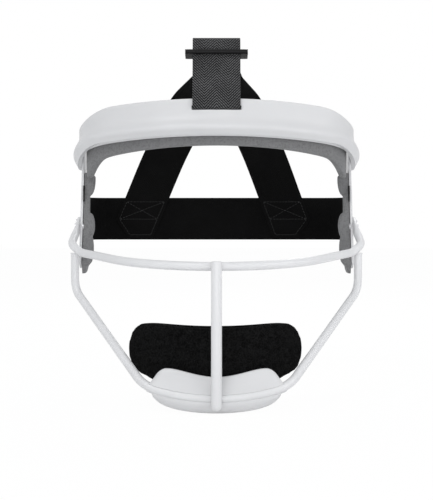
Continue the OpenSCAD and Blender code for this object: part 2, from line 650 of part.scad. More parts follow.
// The two corners of the crown straps' run, seen from the side
crown_peak = [2, band_top + 5.2, 120];
crown_shoulder_z = rear_strap_w / 2 + 28.6;
// Where the upper crown strap comes down beside the lower one
crown_lift_from = 85;
crown_lift_to = 125;
crown_rear = rear_y - web_t - fit_gap;
crown_path = open_path([with_r(strap_at(crown_top, strap_runs + layer), 0),
                        with_r(strap_at(crown_bend, strap_runs + layer), 7), crown_peak,
                        [crown_rear, crown_shoulder_z, 90], [crown_rear, strap_end_z, 0]], 6);
crown_run = [for (i = 0, s = 0; i < len(crown_path);
             i = i + 1, s = s + (i < len(crown_path) ? norm(crown_path[i] - crown_path[i - 1]) : 0)) s];
crown_len = crown_run[len(crown_run) - 1];
crown_left_start = -4.5;
crown_right_start = -8.3;
crown_cut = 22;
// The end is cut square to the strap's own run, and its low corner to the rear strap's edge
crown_rows = concat([for (i = [0 : len(crown_path) - 2]) [crown_path[i], path_side(crown_path, i), crown_run[i]]],
                    [for (t = steps(crown_cut, 0, 3)) [[crown_rear, strap_end_z + t], [-1, 0], crown_len - t]]);
module crown_strap(side, lift, start, end) {
    skew = (end - start) / crown_len;
    reach = crown_strap_w / 2 * sqrt(1 + skew * skew);
    rows = [for (k = crown_rows) let (up = lift * (1 - smooth(crown_lift_from, crown_lift_to, k[2])), x = start + skew * k[2],
                                      cut = max(0, k[2] - crown_len + crown_cut) * 1.15)
            [k[0] + k[1] * up, k[1], x - reach, x + reach - cut]];
    color([0.05, 0.05, 0.06]) loft([for (k = rows)
        let (a = k[0] - k[1] * web_t / 2, b = k[0] + k[1] * web_t / 2)
        [[side * k[2], a.x, a.y], [side * k[3], a.x, a.y], [side * k[3], b.x, b.y], [side * k[2], b.x, b.y]]]);
}
module crown_strap_left() {
    crown_strap(1, 0, crown_left_start, crown_left_x);
}
module crown_strap_right() {
    crown_strap(-1, layer, crown_right_start, crown_right_x);
}

patch_t = 1.2;
module crown_patch() {
    at = strap_at(crown_top - 1, strap_runs + 2 * layer + web_t / 2 + fit_gap);
    color("black") lay([1, 0, 0], [0, lean_back.x, lean_back.y], [0, -lean_way.x, -lean_way.y], [0, at.x, at.y])
        translate([-19, 0, 0]) cube([38, patch_t, 7]);
}

// Rear strap, seen from above: each end passes out through the arm's slot and folds back on itself
fold_in = arm_inner - web_t / 2 - fit_gap;
fold_out = arm_outer + web_t / 2 + fit_gap;
fold_y = arm_slot_y + web_t / 2 + 0.7;
tab_t = 1.6;
fold_layer = web_t + tab_t + 2 * skin_gap;
rear_side = arm_outer + 0.55;
rear_lap_x = 96;
rear_r = 24;
rear_half = [[rear_lap_x, rear_y + fold_layer, 0], [rear_side + fold_layer, rear_y + fold_layer, rear_r + fold_layer],
             [rear_side + fold_layer, 40, 20], [fold_out, arm_back + 1, 20],
             [fold_out, fold_y, (fold_out - fold_in) / 2 - 0.01], [fold_in, fold_y, (fold_out - fold_in) / 2 - 0.01],
             [fold_in, arm_back + 1, 20], [rear_side, 44, 16], [rear_side, rear_y, rear_r]];
module rear_strap() {
    path = concat(rear_half, [for (i = [len(rear_half) - 1 : -1 : 0]) [-rear_half[i].x, rear_half[i].y, rear_half[i].z]]);
    color([0.05, 0.05, 0.06]) loft(web_rings(open_path(path), web_t, rear_strap_w, true));
}

tab_w = 30;
tab_edge = 2;
module rear_hook_tab() {
    translate([rear_lap_x + tab_edge, rear_y + web_t / 2 + skin_gap, tab_edge - rear_strap_w / 2])
        cube([tab_w, tab_t, rear_strap_w - 2 * tab_edge]);
}
module rear_hook_tab_left() {
    color("black") rear_hook_tab();
}
module rear_hook_tab_right() {
    color("black") mirror([1, 0, 0]) rear_hook_tab();
}

brow_band();
face_frame();
band_screws();
nose_bar();
bar_rivets();
rivet_washers();
jaw_bar();
centre_bar();
chin_cup();
cup_screws();
chin_pad();
chin_hook_tape();
brow_pad();
brow_hook_tape();
temple_pad_left();
temple_pad_right();
temple_hook_tape();
top_strap();
slider();
crown_strap_left();
crown_strap_right();
crown_patch();
rear_strap();
rear_hook_tab_left();
rear_hook_tab_right();
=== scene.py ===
"""Looks of the softball face guard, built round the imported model.
Lengths are millimetres until a mesh is made; material distances and the cloth's sizes are metres."""
import math

import bpy
import numpy as np
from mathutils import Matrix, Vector


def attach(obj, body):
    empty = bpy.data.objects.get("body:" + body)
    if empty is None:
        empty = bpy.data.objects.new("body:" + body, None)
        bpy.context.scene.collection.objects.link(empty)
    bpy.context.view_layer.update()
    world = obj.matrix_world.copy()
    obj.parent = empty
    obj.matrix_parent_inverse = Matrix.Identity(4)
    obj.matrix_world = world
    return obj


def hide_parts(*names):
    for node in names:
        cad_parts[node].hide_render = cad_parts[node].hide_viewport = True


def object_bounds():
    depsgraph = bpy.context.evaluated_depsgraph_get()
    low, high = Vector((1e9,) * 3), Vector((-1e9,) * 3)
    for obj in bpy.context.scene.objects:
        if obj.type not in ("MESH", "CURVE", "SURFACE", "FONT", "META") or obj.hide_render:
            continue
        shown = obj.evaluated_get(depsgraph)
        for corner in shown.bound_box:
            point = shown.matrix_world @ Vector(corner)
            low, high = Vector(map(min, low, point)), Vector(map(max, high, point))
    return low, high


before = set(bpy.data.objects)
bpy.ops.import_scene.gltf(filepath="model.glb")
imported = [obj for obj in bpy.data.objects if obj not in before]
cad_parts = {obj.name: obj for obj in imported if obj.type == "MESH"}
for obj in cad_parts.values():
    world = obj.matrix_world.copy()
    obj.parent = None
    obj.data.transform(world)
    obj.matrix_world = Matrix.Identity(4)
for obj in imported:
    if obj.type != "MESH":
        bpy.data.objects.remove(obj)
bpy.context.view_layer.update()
MM = 0.001

# Sizes repeated from part.scad
BAND_HALF_W, BAND_FRONT, BAND_LIP_Z = 154.5, 87.0, 88.6
BAND_FRONT_R, BAND_SIDE_R, BAND_TAIL = 240.0, 75.0, 9.0
BAND_H, BAND_WALL, RIDGE_OUT, RIDGE_Z = 38.2, 3.0, 6.5, 7.5
BAND_FALL, END_DROP, END_ROUND, TOP_ROUND = 0.19, 13.0, 7.0, 10.0
SLOT_H, SLOT_V, SLOT_PLAY, STRIP_TOP, PAD_TOP = 5.0, 25.9, 1.8, 33.0, 30.0
STRIP_WALL, ARM_WALL, ARM_TIP_Z, ARM_SLOT_Y, ARM_WEB = 2.5, 2.8, 56.5, 11.5, 6.0
BAR_D, CENTRE_D, NOSE_FRONT, NOSE_Z, NOSE_R = 8.8, 10.5, 179.0, 47.0, 130.0
NOSE_SIDE_ANGLE, NOSE_RISE = 35.0, 0.09
JAW_FRONT, JAW_Z, JAW_TURN_Z, CENTRE_TAIL = 178.9, 174.8, 77.0, 10.5
PADDLE_T, PADDLE_W, WELD_BITE = 4.4, 15.0, 0.5
LEG_SLOPE, LEG_OUT, LEG_BEND_Y, LEG_BEND_Z = 25.7, 158.2, -57.0, -28.5
CHIN_BOW_R, CHIN_SLOPE, CHIN_DIP, CHIN_CORNER_RUN, CHIN_CORNER_R = 170.0, 19.0, 42.0, 15.6, 43.0
CUP_WALL, CUP_UP, CUP_DOWN, CUP_FLOOR = 3.0, 19.6, 15.4, 22.0
CUP_HUMP, CUP_HUMP_X, CUP_LOW_HALF = 3.4, 50.0, 61.0
CHIN_R, CHIN_ANGLE, CHIN_T = 111.0, 52.4, 16.0
CHIN_TOP, CHIN_LOW, CHIN_LIFT, CHIN_END_Z = -106.6, -176.0, 20.3, -132.0
PAD_GAP, BROW_PAD_T, BROW_DROP, TEMPLE_T = 1.6, 9.5, 11.0, 7.0
TOP_W, CROWN_W, REAR_W, WEB_T = 50.8, 49.5, 50.8, 2.0
REAR_Y, LEAN, RISE, RUNS = 74.2, 10.0, 64.5, 8.8
CROWN_LEFT, CROWN_RIGHT = (-4.5, 95.5), (-8.3, 104.5)
SKIN, FIT, ARM_INSET, FOLD_PLAY, CHANNEL_GAP = 0.1, 0.2, 0.95, 1.5, 0.35
BAR_R = BAR_D / 2
LAYER = WEB_T + FIT
# What a radius is held short of a half turn, so that its corner still has two ends
SHUT = 0.01


# Vector help
def vec(*v):
    return np.array(v, float)


def unit(v):
    return v / np.linalg.norm(v)


def mix(a, b, t):
    return a + (b - a) * t


def smooth(a, b, x):
    t = min(1.0, max(0.0, (x - a) / (b - a)))
    return t * t * (3 - 2 * t)


def power(v, e):
    return math.copysign(abs(v) ** e, v)


def steps(a, b, n):
    return [a + (b - a) * i / n for i in range(n + 1)]


def sind(a):
    return math.sin(math.radians(a))


def cosd(a):
    return math.cos(math.radians(a))


class Corner:
    """One rounded corner of a path."""

    def __init__(self, a, b, c, r):
        self.d1 = unit(b - a)
        d2 = unit(c - b)
        self.turn = math.degrees(math.acos(max(-1, min(1, self.d1 @ d2))))
        self.side = unit(d2 - self.d1 * (self.d1 @ d2))
        self.r = r
        self.start = b - self.d1 * r * math.tan(math.radians(self.turn / 2))
        self.centre = self.start + self.side * r

    def point(self, t):
        a = self.turn * t
        return self.centre + self.r * (self.d1 * sind(a) - self.side * cosd(a))

    def way(self, t):
        a = self.turn * t
        return self.d1 * cosd(a) + self.side * sind(a)


def fine(length, step, least=4):
    return max(least, int(math.ceil(length / step)))


def open_path(path, step):
    """Flat path of (x, y, radius) as points not further apart than step."""
    pts = [vec(*path[0][:2])]
    for i in range(1, len(path) - 1):
        k = Corner(vec(*path[i - 1][:2]), vec(*path[i][:2]), vec(*path[i + 1][:2]), path[i][2])
        n = fine(k.r * math.radians(k.turn), min(step, k.r * 0.26))
        pts += [k.point(j / n) for j in range(n + 1)]
    pts.append(vec(*path[-1][:2]))
    full = [pts[0]]
    for a, b in zip(pts, pts[1:]):
        n = max(1, int(math.ceil(np.linalg.norm(b - a) / step)))
        if np.linalg.norm(b - a) > 1e-3:
            full += [mix(a, b, j / n) for j in range(1, n + 1)]
    return full


def normals(pts):
    """Left-hand normals of a flat path."""
    out = []
    for i in range(len(pts)):
        a = unit(pts[max(i, 1)] - pts[max(i, 1) - 1])
        b = unit(pts[min(i, len(pts) - 2) + 1] - pts[min(i, len(pts) - 2)])
        m = unit(a + b)
        out.append(vec(-m[1], m[0]))
    return out


# Meshes
def area_way(ring):
    """Way that a ring faces, as long as twice its area."""
    return sum(np.cross(ring[j] - ring[0], ring[(j + 1) % len(ring)] - ring[0]) for j in range(len(ring)))


def shade_smooth(mesh):
    for poly in mesh.polygons:
        poly.use_smooth = True


def make_object(name, verts, faces, uvs=None, sharp=40):
    mesh = bpy.data.meshes.new(name)
    mesh.from_pydata([tuple(v * MM) for v in verts], [], faces)
    if uvs is not None:
        layer = mesh.uv_layers.new(name="run")
        for loop in mesh.loops:
            layer.data[loop.index].uv = uvs[loop.vertex_index]
    mesh.update()
    obj = bpy.data.objects.new(name, mesh)
    bpy.context.collection.objects.link(obj)
    shade_smooth(mesh)
    mesh.set_sharp_from_angle(angle=math.radians(sharp))
    return obj


def loft(name, rings, sharp=40, across=None):
    """Closed mesh through rings of equal length. UV runs in metres: round the ring, and along the rings."""
    n, last = len(rings[0]), len(rings) - 1
    m = last // 2
    turned = area_way(rings[m]) @ (sum(rings[m + 1]) - sum(rings[m])) > 0
    if not turned:
        rings = [r[::-1] for r in rings]
        across = None if across is None else across[::-1]
    verts = [p for r in rings for p in r]
    faces = []
    for i in range(last):
        for j in range(n):
            k = (j + 1) % n
            faces.append((i * n + j, i * n + k, (i + 1) * n + k, (i + 1) * n + j))
    faces.append(tuple(range(n - 1, -1, -1)))
    faces.append(tuple(last * n + j for j in range(n)))
    mids = [sum(r) / n for r in rings]
    along = [0.0]
    for a, b in zip(mids, mids[1:]):
        along.append(along[-1] + np.linalg.norm(b - a))
    if across is None:
        across = [0.0]
        for j in range(1, n):
            across.append(across[-1] + np.linalg.norm(rings[m][j] - rings[m][j - 1]))
    uvs = [(across[j] * MM, along[i] * MM) for i in range(last + 1) for j in range(n)]
    return make_object(name, verts, faces, uvs, sharp)


def apply_modifiers(obj):
    bpy.context.view_layer.update()
    depsgraph = bpy.context.evaluated_depsgraph_get()
    mesh = bpy.data.meshes.new_from_object(obj.evaluated_get(depsgraph))
    obj.modifiers.clear()
    obj.data = mesh


def cut(obj, tool):
    m = obj.modifiers.new("cut", "BOOLEAN")
    m.operation = "DIFFERENCE"
    m.solver = "EXACT"
    m.object = tool
    apply_modifiers(obj)
    bpy.data.objects.remove(tool)


# Voxel and cap in metres
CLOTH_VOXEL, CLOTH_CAP, CLOTH_PRESSURE, CLOTH_FRAMES = 0.003, 0.002, 4.0, 20


def points_of(obj):
    return np.array([v.co[:] for v in obj.data.vertices])


def padded_cloth(obj):
    """Blow the closed form up as a cloth cover, with no point further from its start than the cap.
    The result is fitted back to the box that the form had, because it was drawn to the photograph."""
    drawn = points_of(obj)
    remesh = obj.modifiers.new("remesh", "REMESH")
    remesh.mode = "VOXEL"
    remesh.voxel_size = CLOTH_VOXEL
    apply_modifiers(obj)
    start = points_of(obj)
    cloth = obj.modifiers.new("cover", "CLOTH")
    cloth.settings.use_pressure = True
    cloth.settings.uniform_pressure_force = CLOTH_PRESSURE
    cloth.settings.effector_weights.gravity = 0
    cloth.collision_settings.use_collision = False
    cloth.point_cache.frame_start = 1
    cloth.point_cache.frame_end = CLOTH_FRAMES
    for i in range(1, CLOTH_FRAMES + 1):
        bpy.context.scene.frame_set(i)
    apply_modifiers(obj)
    bpy.context.scene.frame_set(1)
    for v, p in zip(obj.data.vertices, start):
        move = vec(*v.co) - p
        far = np.linalg.norm(move)
        if far > CLOTH_CAP:
            v.co = p + move * CLOTH_CAP / far
    rounder = obj.modifiers.new("rounder", "SUBSURF")
    rounder.levels = 1
    rounder.render_levels = 1
    apply_modifiers(obj)
    blown = points_of(obj)
    size = np.ptp(drawn, axis=0) / np.ptp(blown, axis=0)
    for v, p in zip(obj.data.vertices, drawn.min(axis=0) + (blown - blown.min(axis=0)) * size):
        v.co = p
    shade_smooth(obj.data)


# Rings of one thread: the place along it from -0.5 to 0.5, and the share of its radius there
THREAD_ROWS = ((-0.5, 0.4), (-0.36, 0.8), (0, 1), (0.36, 0.8), (0.5, 0.4))
THREAD_R, THREAD_RUN, THREAD_GAP, THREAD_SIDES = 0.32, 2.6, 1.1, 6


def stitches(name, lines):
    """Sewn lines as separate threads that dip in at both ends. Each line is (start, end, outward)."""
    verts, faces, m = [], [], THREAD_SIDES
    for a, b, out in lines:
        way, total = unit(b - a), np.linalg.norm(b - a)
        side = unit(np.cross(out, way))
        n = max(1, int(round(total / (THREAD_RUN + THREAD_GAP))))
        for i in range(n):
            middle, base = a + way * (total * (i + 0.5) / n), len(verts)
            for t, share in THREAD_ROWS:
                r, lift = THREAD_R * share, THREAD_R * (share - 0.75)
                for turn in steps(0, 360, m)[:-1]:
                    spread = side * r * cosd(turn) + out * (lift + r * sind(turn))
                    verts.append(middle + way * t * THREAD_RUN + spread)
            for row in range(len(THREAD_ROWS) - 1):
                at = base + row * m
                for j in range(m):
                    k = (j + 1) % m
                    faces.append((at + j, at + k, at + m + k, at + m + j))
            faces.append(tuple(base + j for j in range(m - 1, -1, -1)))
            faces.append(tuple(base + (len(THREAD_ROWS) - 1) * m + j for j in range(m)))
    return make_object(name, verts, faces, sharp=60)


def closed_faces(n, m):
    """Faces of a tube that closes on itself, with n rings of m points."""
    faces = []
    for i in range(n):
        for j in range(m):
            after, beside = (i + 1) % n, (j + 1) % m
            faces.append((i * m + j, i * m + beside, after * m + beside, after * m + j))
    return faces


TUBE_SIDES, BEAD_STEPS, BEAD_RIPPLES, BEAD_RIPPLE = 10, 64, 13, 0.14


def bead(name, centre, axis, ref, ra, rb, thick):
    """Weld bead: a rippled ring of half widths ra along ref and rb across it."""
    axis = unit(axis)
    up = unit(ref - axis * (ref @ axis))
    across = np.cross(axis, up)
    n, m = BEAD_STEPS, TUBE_SIDES
    verts = []
    for i in range(n):
        a = i * 360 / n
        out = unit(up * cosd(a) * rb + across * sind(a) * ra)
        p = centre + up * ra * cosd(a) + across * rb * sind(a)
        r = thick * (1 - BEAD_RIPPLE + BEAD_RIPPLE * cosd(a * BEAD_RIPPLES))
        verts += [p + (out * cosd(j * 360 / m) + axis * sind(j * 360 / m)) * r for j in range(m)]
    return make_object(name, verts, closed_faces(n, m), sharp=60)


def closed_tube(name, points, outs, r):
    """Cord sewn round an edge: a tube along a closed line, with an outward way for each of its points."""
    verts, n, m = [], len(points), TUBE_SIDES
    for i in range(n):
        way = unit(points[(i + 1) % n] - points[i - 1])
        out = unit(outs[i] - way * (outs[i] @ way))
        side = np.cross(way, out)
        verts += [points[i] + (out * cosd(j * 360 / m) + side * sind(j * 360 / m)) * r for j in range(m)]
    return make_object(name, verts, closed_faces(n, m), sharp=60)


def finish_piece(obj, body, slot, material, *nodes):
    obj.data.materials.clear()
    obj.data.materials.append(material)
    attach(obj, body)
    if nodes:
        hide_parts(*nodes)


def plate(name, outline, x0, x1, bevel):
    """Flat plate between two X planes from an outline in (Y, Z), with softened rims."""
    c = sum(outline) / len(outline)
    lay = [(x0, bevel), (x0 + bevel * 0.3, bevel * 0.3), (x0 + bevel, 0),
           (x1 - bevel, 0), (x1 - bevel * 0.3, bevel * 0.3), (x1, bevel)]
    nrm = []
    n = len(outline)
    for i in range(n):
        t = unit(outline[(i + 1) % n] - outline[i - 1])
        nrm.append(vec(t[1], -t[0]))
    if sum((outline[i] - c) @ nrm[i] for i in range(n)) < 0:
        nrm = [-v for v in nrm]
    rings = [[vec(x, *(outline[i] - nrm[i] * inset)) for i in range(n)] for x, inset in lay]
    return loft(name, rings, 35)


# Plan of the band
BAND_TURN = math.degrees(math.asin((BAND_HALF_W - BAND_SIDE_R) / (BAND_FRONT_R - BAND_SIDE_R)))
FRONT_RUN = BAND_FRONT_R * math.radians(BAND_TURN)
SIDE_RUN = BAND_SIDE_R * math.radians(90 - BAND_TURN)
BAND_END = FRONT_RUN + SIDE_RUN + BAND_TAIL
SIDE_CENTRE = vec((BAND_FRONT_R - BAND_SIDE_R) * sind(BAND_TURN),
                  BAND_FRONT_R - BAND_FRONT - (BAND_FRONT_R - BAND_SIDE_R) * cosd(BAND_TURN))


def band_angle(s):
    if s < FRONT_RUN:
        return math.degrees(s / BAND_FRONT_R)
    return min(90.0, BAND_TURN + math.degrees((s - FRONT_RUN) / BAND_SIDE_R))


def band_plan(s):
    a = band_angle(s)
    if s < FRONT_RUN:
        return vec(BAND_FRONT_R * sind(a), BAND_FRONT_R * (1 - cosd(a)) - BAND_FRONT)
    return SIDE_CENTRE + BAND_SIDE_R * vec(sind(a), -cosd(a)) + vec(0, max(0, s - FRONT_RUN - SIDE_RUN))


def band_point(s, u, v):
    """Point s along the band, u outward of its inside and v above its lower edge."""
    a, p, side = band_angle(abs(s)), band_plan(abs(s)), -1 if s < 0 else 1
    z = BAND_LIP_Z + v - BAND_FALL * (p[1] + BAND_FRONT)
    return vec(side * (p[0] + u * sind(a)), p[1] - u * cosd(a), z)


TOP_DROP_FROM, TOP_DROP_TO, END_DROP_RUN, END_THIN = 115.0, 185.0, 75.0, 0.72
RIDGE_UP, RIDGE_DOWN = 8.0, 6.5
BAND_EDGE, BAND_INNER_EDGE, BAND_CHAMFER = 1.4, 0.6, 0.12


def top_drop(s):
    return TOP_ROUND * smooth(TOP_DROP_FROM, TOP_DROP_TO, abs(s))


def band_outside(v):
    reach = RIDGE_UP if v > RIDGE_Z else RIDGE_DOWN
    return BAND_WALL + RIDGE_OUT * math.exp(-(((v - RIDGE_Z) / reach) ** 2))


def band_section():
    """Band section as (u, v): the ridged outside from its lower edge up, the rounded top, the inside."""
    out = [(0, BAND_INNER_EDGE)]
    out += [(band_outside(v), v) for v in steps(0, RIDGE_Z * 2, 26)]
    out += [(band_outside(v), v) for v in steps(RIDGE_Z * 2, BAND_H - BAND_EDGE, 10)[1:]]
    for a in steps(0, 90, 5)[1:]:
        out.append((BAND_WALL - BAND_EDGE * (1 - cosd(a)), BAND_H - BAND_EDGE + BAND_EDGE * sind(a)))
    out += [(0.5, BAND_H), (BAND_CHAMFER, BAND_H - BAND_CHAMFER), (0, BAND_H - BAND_INNER_EDGE)]
    out += [(0, v) for v in steps(BAND_H - BAND_INNER_EDGE, BAND_INNER_EDGE, 8)[1:-1]]
    return out


def band_ring(s):
    k = smooth(BAND_END - END_DROP_RUN, BAND_END, abs(s))
    e = max(0, (abs(s) - BAND_END + END_ROUND) / END_ROUND)
    thin = math.sqrt(1 - END_THIN * e * e)
    out = []
    for u, v in band_section():
        f = v / BAND_H
        out.append(band_point(s, u * thin, v - k * END_DROP * (1 - f) ** 1.5 - top_drop(s) * f**3))
    return out


# Materials
def node(nt, kind, **values):
    n = nt.nodes.new(kind)
    for key, value in values.items():
        if key in n.inputs:
            n.inputs[key].default_value = value
        else:
            setattr(n, key, value)
    return n


def new_material(name, colour, roughness, **sockets):
    m = bpy.data.materials.new(name)
    m.use_nodes = True
    nt = m.node_tree
    b = nt.nodes["Principled BSDF"]
    b.inputs["Base Color"].default_value = (*colour, 1)
    b.inputs["Roughness"].default_value = roughness
    for key, value in sockets.items():
        b.inputs[key.replace("_", " ")].default_value = value
    return m, nt, b


def coordinates(nt):
    return nt.nodes.new("ShaderNodeTexCoord").outputs["Object"]


def maths(nt, operation, *values):
    n = node(nt, "ShaderNodeMath", operation=operation)
    for socket, value in zip(n.inputs, values):
        if isinstance(value, (int, float)):
            socket.default_value = value
        else:
            nt.links.new(value, socket)
    return n.outputs[0]


def scaled(nt, value, factor, plus=0.0):
    """The value times factor, plus a number."""
    return maths(nt, "MULTIPLY_ADD", value, factor, plus)


def noise(nt, vector, scale, detail, rough=0.5):
    n = node(nt, "ShaderNodeTexNoise", Scale=scale, Detail=detail, Roughness=rough)
    nt.links.new(vector, n.inputs["Vector"])
    return n.outputs["Fac"]


def cells(nt, vector, scale):
    n = node(nt, "ShaderNodeTexVoronoi", Scale=scale)
    nt.links.new(vector, n.inputs["Vector"])
    return n.outputs["Distance"]


def multiplied(nt, a, b, share):
    """Colour a, darkened by colour b as far as share says."""
    n = node(nt, "ShaderNodeMix", data_type="RGBA", blend_type="MULTIPLY")
    n.inputs[0].default_value = share
    nt.links.new(a, n.inputs[6])
    nt.links.new(b, n.inputs[7])
    return n.outputs[2]


def ramp(nt, value, *stops):
    r = nt.nodes.new("ShaderNodeValToRGB")
    while len(r.color_ramp.elements) < len(stops):
        r.color_ramp.elements.new(0.5)
    for e, (at, colour) in zip(r.color_ramp.elements, stops):
        e.position = at
        e.color = (*colour, 1)
    nt.links.new(value, r.inputs["Fac"])
    return r.outputs["Color"]


def bump(nt, b, height, distance, strength):
    n = node(nt, "ShaderNodeBump", Strength=strength, Distance=distance)
    nt.links.new(height, n.inputs["Height"])
    nt.links.new(n.outputs["Normal"], b.inputs["Normal"])


def grey(v):
    return (v, v, v * 1.01)


def white_material(name, colour, roughness, grain, coat, depth):
    """White plastic or coating: faint tone drift, scuffs and a fine skin texture."""
    m, nt, b = new_material(name, colour, roughness, Coat_Weight=coat, Coat_Roughness=0.2,
                            Specular_IOR_Level=0.35)
    at = coordinates(nt)
    low = [c * 0.95 for c in colour]
    tone = ramp(nt, noise(nt, at, 14, 4), (0.3, low), (0.7, colour))
    scuffs = ramp(nt, noise(nt, at, 320, 6, 0.7), (0.66, grey(1.0)), (0.74, grey(0.9)))
    nt.links.new(multiplied(nt, tone, scuffs, 0.6), b.inputs["Base Color"])
    nt.links.new(scaled(nt, noise(nt, at, 90, 5), 0.18, roughness - 0.09), b.inputs["Roughness"])
    bump(nt, b, noise(nt, at, grain, 2), depth, 0.4)
    return m


def webbing_material(name, dark, light, rib, chevron, sheen, specular):
    """Woven webbing in UV metres: a herringbone twill of rib mm, turned every chevron mm."""
    m, nt, b = new_material(name, light, 0.85, Sheen_Weight=sheen, Sheen_Roughness=0.5,
                            Specular_IOR_Level=specular)
    uv = node(nt, "ShaderNodeUVMap", uv_map="run")
    split = nt.nodes.new("ShaderNodeSeparateXYZ")
    nt.links.new(uv.outputs["UV"], split.inputs[0])
    across, along, at = split.outputs["X"], split.outputs["Y"], coordinates(nt)
    run = maths(nt, "ADD", along, maths(nt, "PINGPONG", across, chevron * MM))
    twill = maths(nt, "SINE", scaled(nt, run, 2 * math.pi / (rib * MM)))
    picks = maths(nt, "SINE", scaled(nt, across, 2 * math.pi / (rib * 0.8 * MM)))
    crossed = scaled(nt, maths(nt, "MULTIPLY", twill, picks), 0.22, 0.25)
    weave = maths(nt, "ADD", scaled(nt, twill, 0.3), crossed)
    height = maths(nt, "ADD", weave, scaled(nt, noise(nt, at, 900, 2), 0.5))
    tone = ramp(nt, height, (0.34, dark), (0.8, light))
    patches = ramp(nt, noise(nt, at, 45, 3), (0.3, grey(0.7)), (0.7, grey(1.0)))
    nt.links.new(multiplied(nt, tone, patches, 1.0), b.inputs["Base Color"])
    bump(nt, b, height, 0.0004, 0.8)
    return m


def foam_material(name, dark, light):
    """Closed-cell foam with open cut cells."""
    m, nt, b = new_material(name, light, 0.95, Sheen_Weight=0.15)
    at = coordinates(nt)
    height = maths(nt, "ADD", scaled(nt, cells(nt, at, 900.0), 0.7), noise(nt, at, 380, 4))
    tone = ramp(nt, scaled(nt, height, 0.8), (0.25, dark), (0.75, light))
    nt.links.new(tone, b.inputs["Base Color"])
    bump(nt, b, height, 0.0004, 0.7)
    return m


def cover_material(name, dark, light):
    """Brushed loop cloth."""
    m, nt, b = new_material(name, light, 0.95, Sheen_Weight=0.01, Sheen_Roughness=0.4,
                            Specular_IOR_Level=0.04)
    at = coordinates(nt)
    height = maths(nt, "ADD", scaled(nt, cells(nt, at, 700.0), 0.8), noise(nt, at, 210, 5, 0.65))
    tone = ramp(nt, scaled(nt, height, 0.75), (0.45, dark), (0.85, light))
    nt.links.new(tone, b.inputs["Base Color"])
    bump(nt, b, height, 0.0006, 0.9)
    return m


def hook_material():
    """Hook side of hook and loop tape."""
    m, nt, b = new_material("hook_tape", (0.02, 0.02, 0.022), 0.8, Specular_IOR_Level=0.15)
    hook = cells(nt, coordinates(nt), 1000.0)
    nt.links.new(ramp(nt, hook, (0.0, grey(0.05)), (0.6, grey(0.012))), b.inputs["Base Color"])
    bump(nt, b, hook, 0.0004, 0.8)
    return m


def steel_material():
    m, nt, b = new_material("screw_steel", (0.62, 0.62, 0.64), 0.3, Metallic=1.0)
    nt.links.new(scaled(nt, noise(nt, coordinates(nt), 400, 3), 0.25, 0.2), b.inputs["Roughness"])
    return m


def black_plastic_material():
    m, nt, b = new_material("black_plastic", (0.006, 0.006, 0.0065), 0.3, Coat_Weight=0.02,
                            Specular_IOR_Level=0.14)
    at = coordinates(nt)
    nt.links.new(scaled(nt, noise(nt, at, 120, 4), 0.25, 0.2), b.inputs["Roughness"])
    bump(nt, b, noise(nt, at, 700, 2), 0.0001, 0.4)
    return m


def thread_material():
    """Twisted sewing thread."""
    m, nt, b = new_material("thread", grey(0.02), 0.7, Sheen_Weight=0.1, Specular_IOR_Level=0.3)
    twist = node(nt, "ShaderNodeTexWave", Scale=700.0, Distortion=2.0)
    nt.links.new(coordinates(nt), twist.inputs["Vector"])
    tone = ramp(nt, twist.outputs["Fac"], (0.2, grey(0.012)), (0.8, grey(0.045)))
    nt.links.new(tone, b.inputs["Base Color"])
    bump(nt, b, twist.outputs["Fac"], 0.0002, 0.6)
    return m


plastic = white_material("white_plastic", (0.67, 0.67, 0.672), 0.42, 260, 0.1, 0.00006)
coating = white_material("white_coating", (0.73, 0.73, 0.732), 0.36, 60, 0.2, 0.00003)
foam = foam_material("grey_foam", grey(0.1), grey(0.2))
cover = cover_material("black_cover", grey(0.0003), grey(0.009))
grey_web = webbing_material("grey_webbing", grey(0.001), grey(0.14), 2.9, 12.7, 0.03, 0.1)
black_web = webbing_material("black_webbing", grey(0.001), grey(0.008), 2.6, 12.4, 0.02, 0.08)
elastic = webbing_material("black_elastic", grey(0.001), grey(0.007), 2.2, 2.2, 0.02, 0.08)
steel = steel_material()
hooks = hook_material()
black_plastic = black_plastic_material()
thread = thread_material()

BODY = "guard"
# Corners of a rounded rectangle: the way out to each, and the angle that its arc starts at
QUARTERS = ((1, 1, 0), (-1, 1, 90), (-1, -1, 180), (1, -1, 270))


# Brow band with its strap slot
def rounded_box(name, centre, size, r):
    """Box with rounded corners in X and Z that runs through along Y."""
    pts = []
    for cx, cz, a0 in QUARTERS:
        for a in steps(a0, a0 + 90, 6):
            pts.append((cx * (size[0] / 2 - r) + r * cosd(a), cz * (size[2] / 2 - r) + r * sind(a)))
    rings = [[vec(*centre) + vec(x, y, z) for x, z in pts] for y in (-size[1] / 2, size[1] / 2)]
    return loft(name, rings)


end_runs = [END_ROUND * t * t for t in steps(0, 1, 8)]
band_runs = [-BAND_END + t for t in end_runs]
band_runs += steps(-BAND_END + END_ROUND, BAND_END - END_ROUND, 150)[1:-1]
band_runs += [BAND_END - t for t in end_runs[::-1]]
band = loft("brow_band_shell", [band_ring(s) for s in band_runs], 50)
cut(band, rounded_box("slot_tool", (0, -BAND_FRONT, BAND_LIP_Z + SLOT_V + SLOT_H / 2),
                      (TOP_W + SLOT_PLAY, 4 * BAND_WALL, SLOT_H), 1.2))
finish_piece(band, BODY, "white_plastic", plastic, "brow_band")

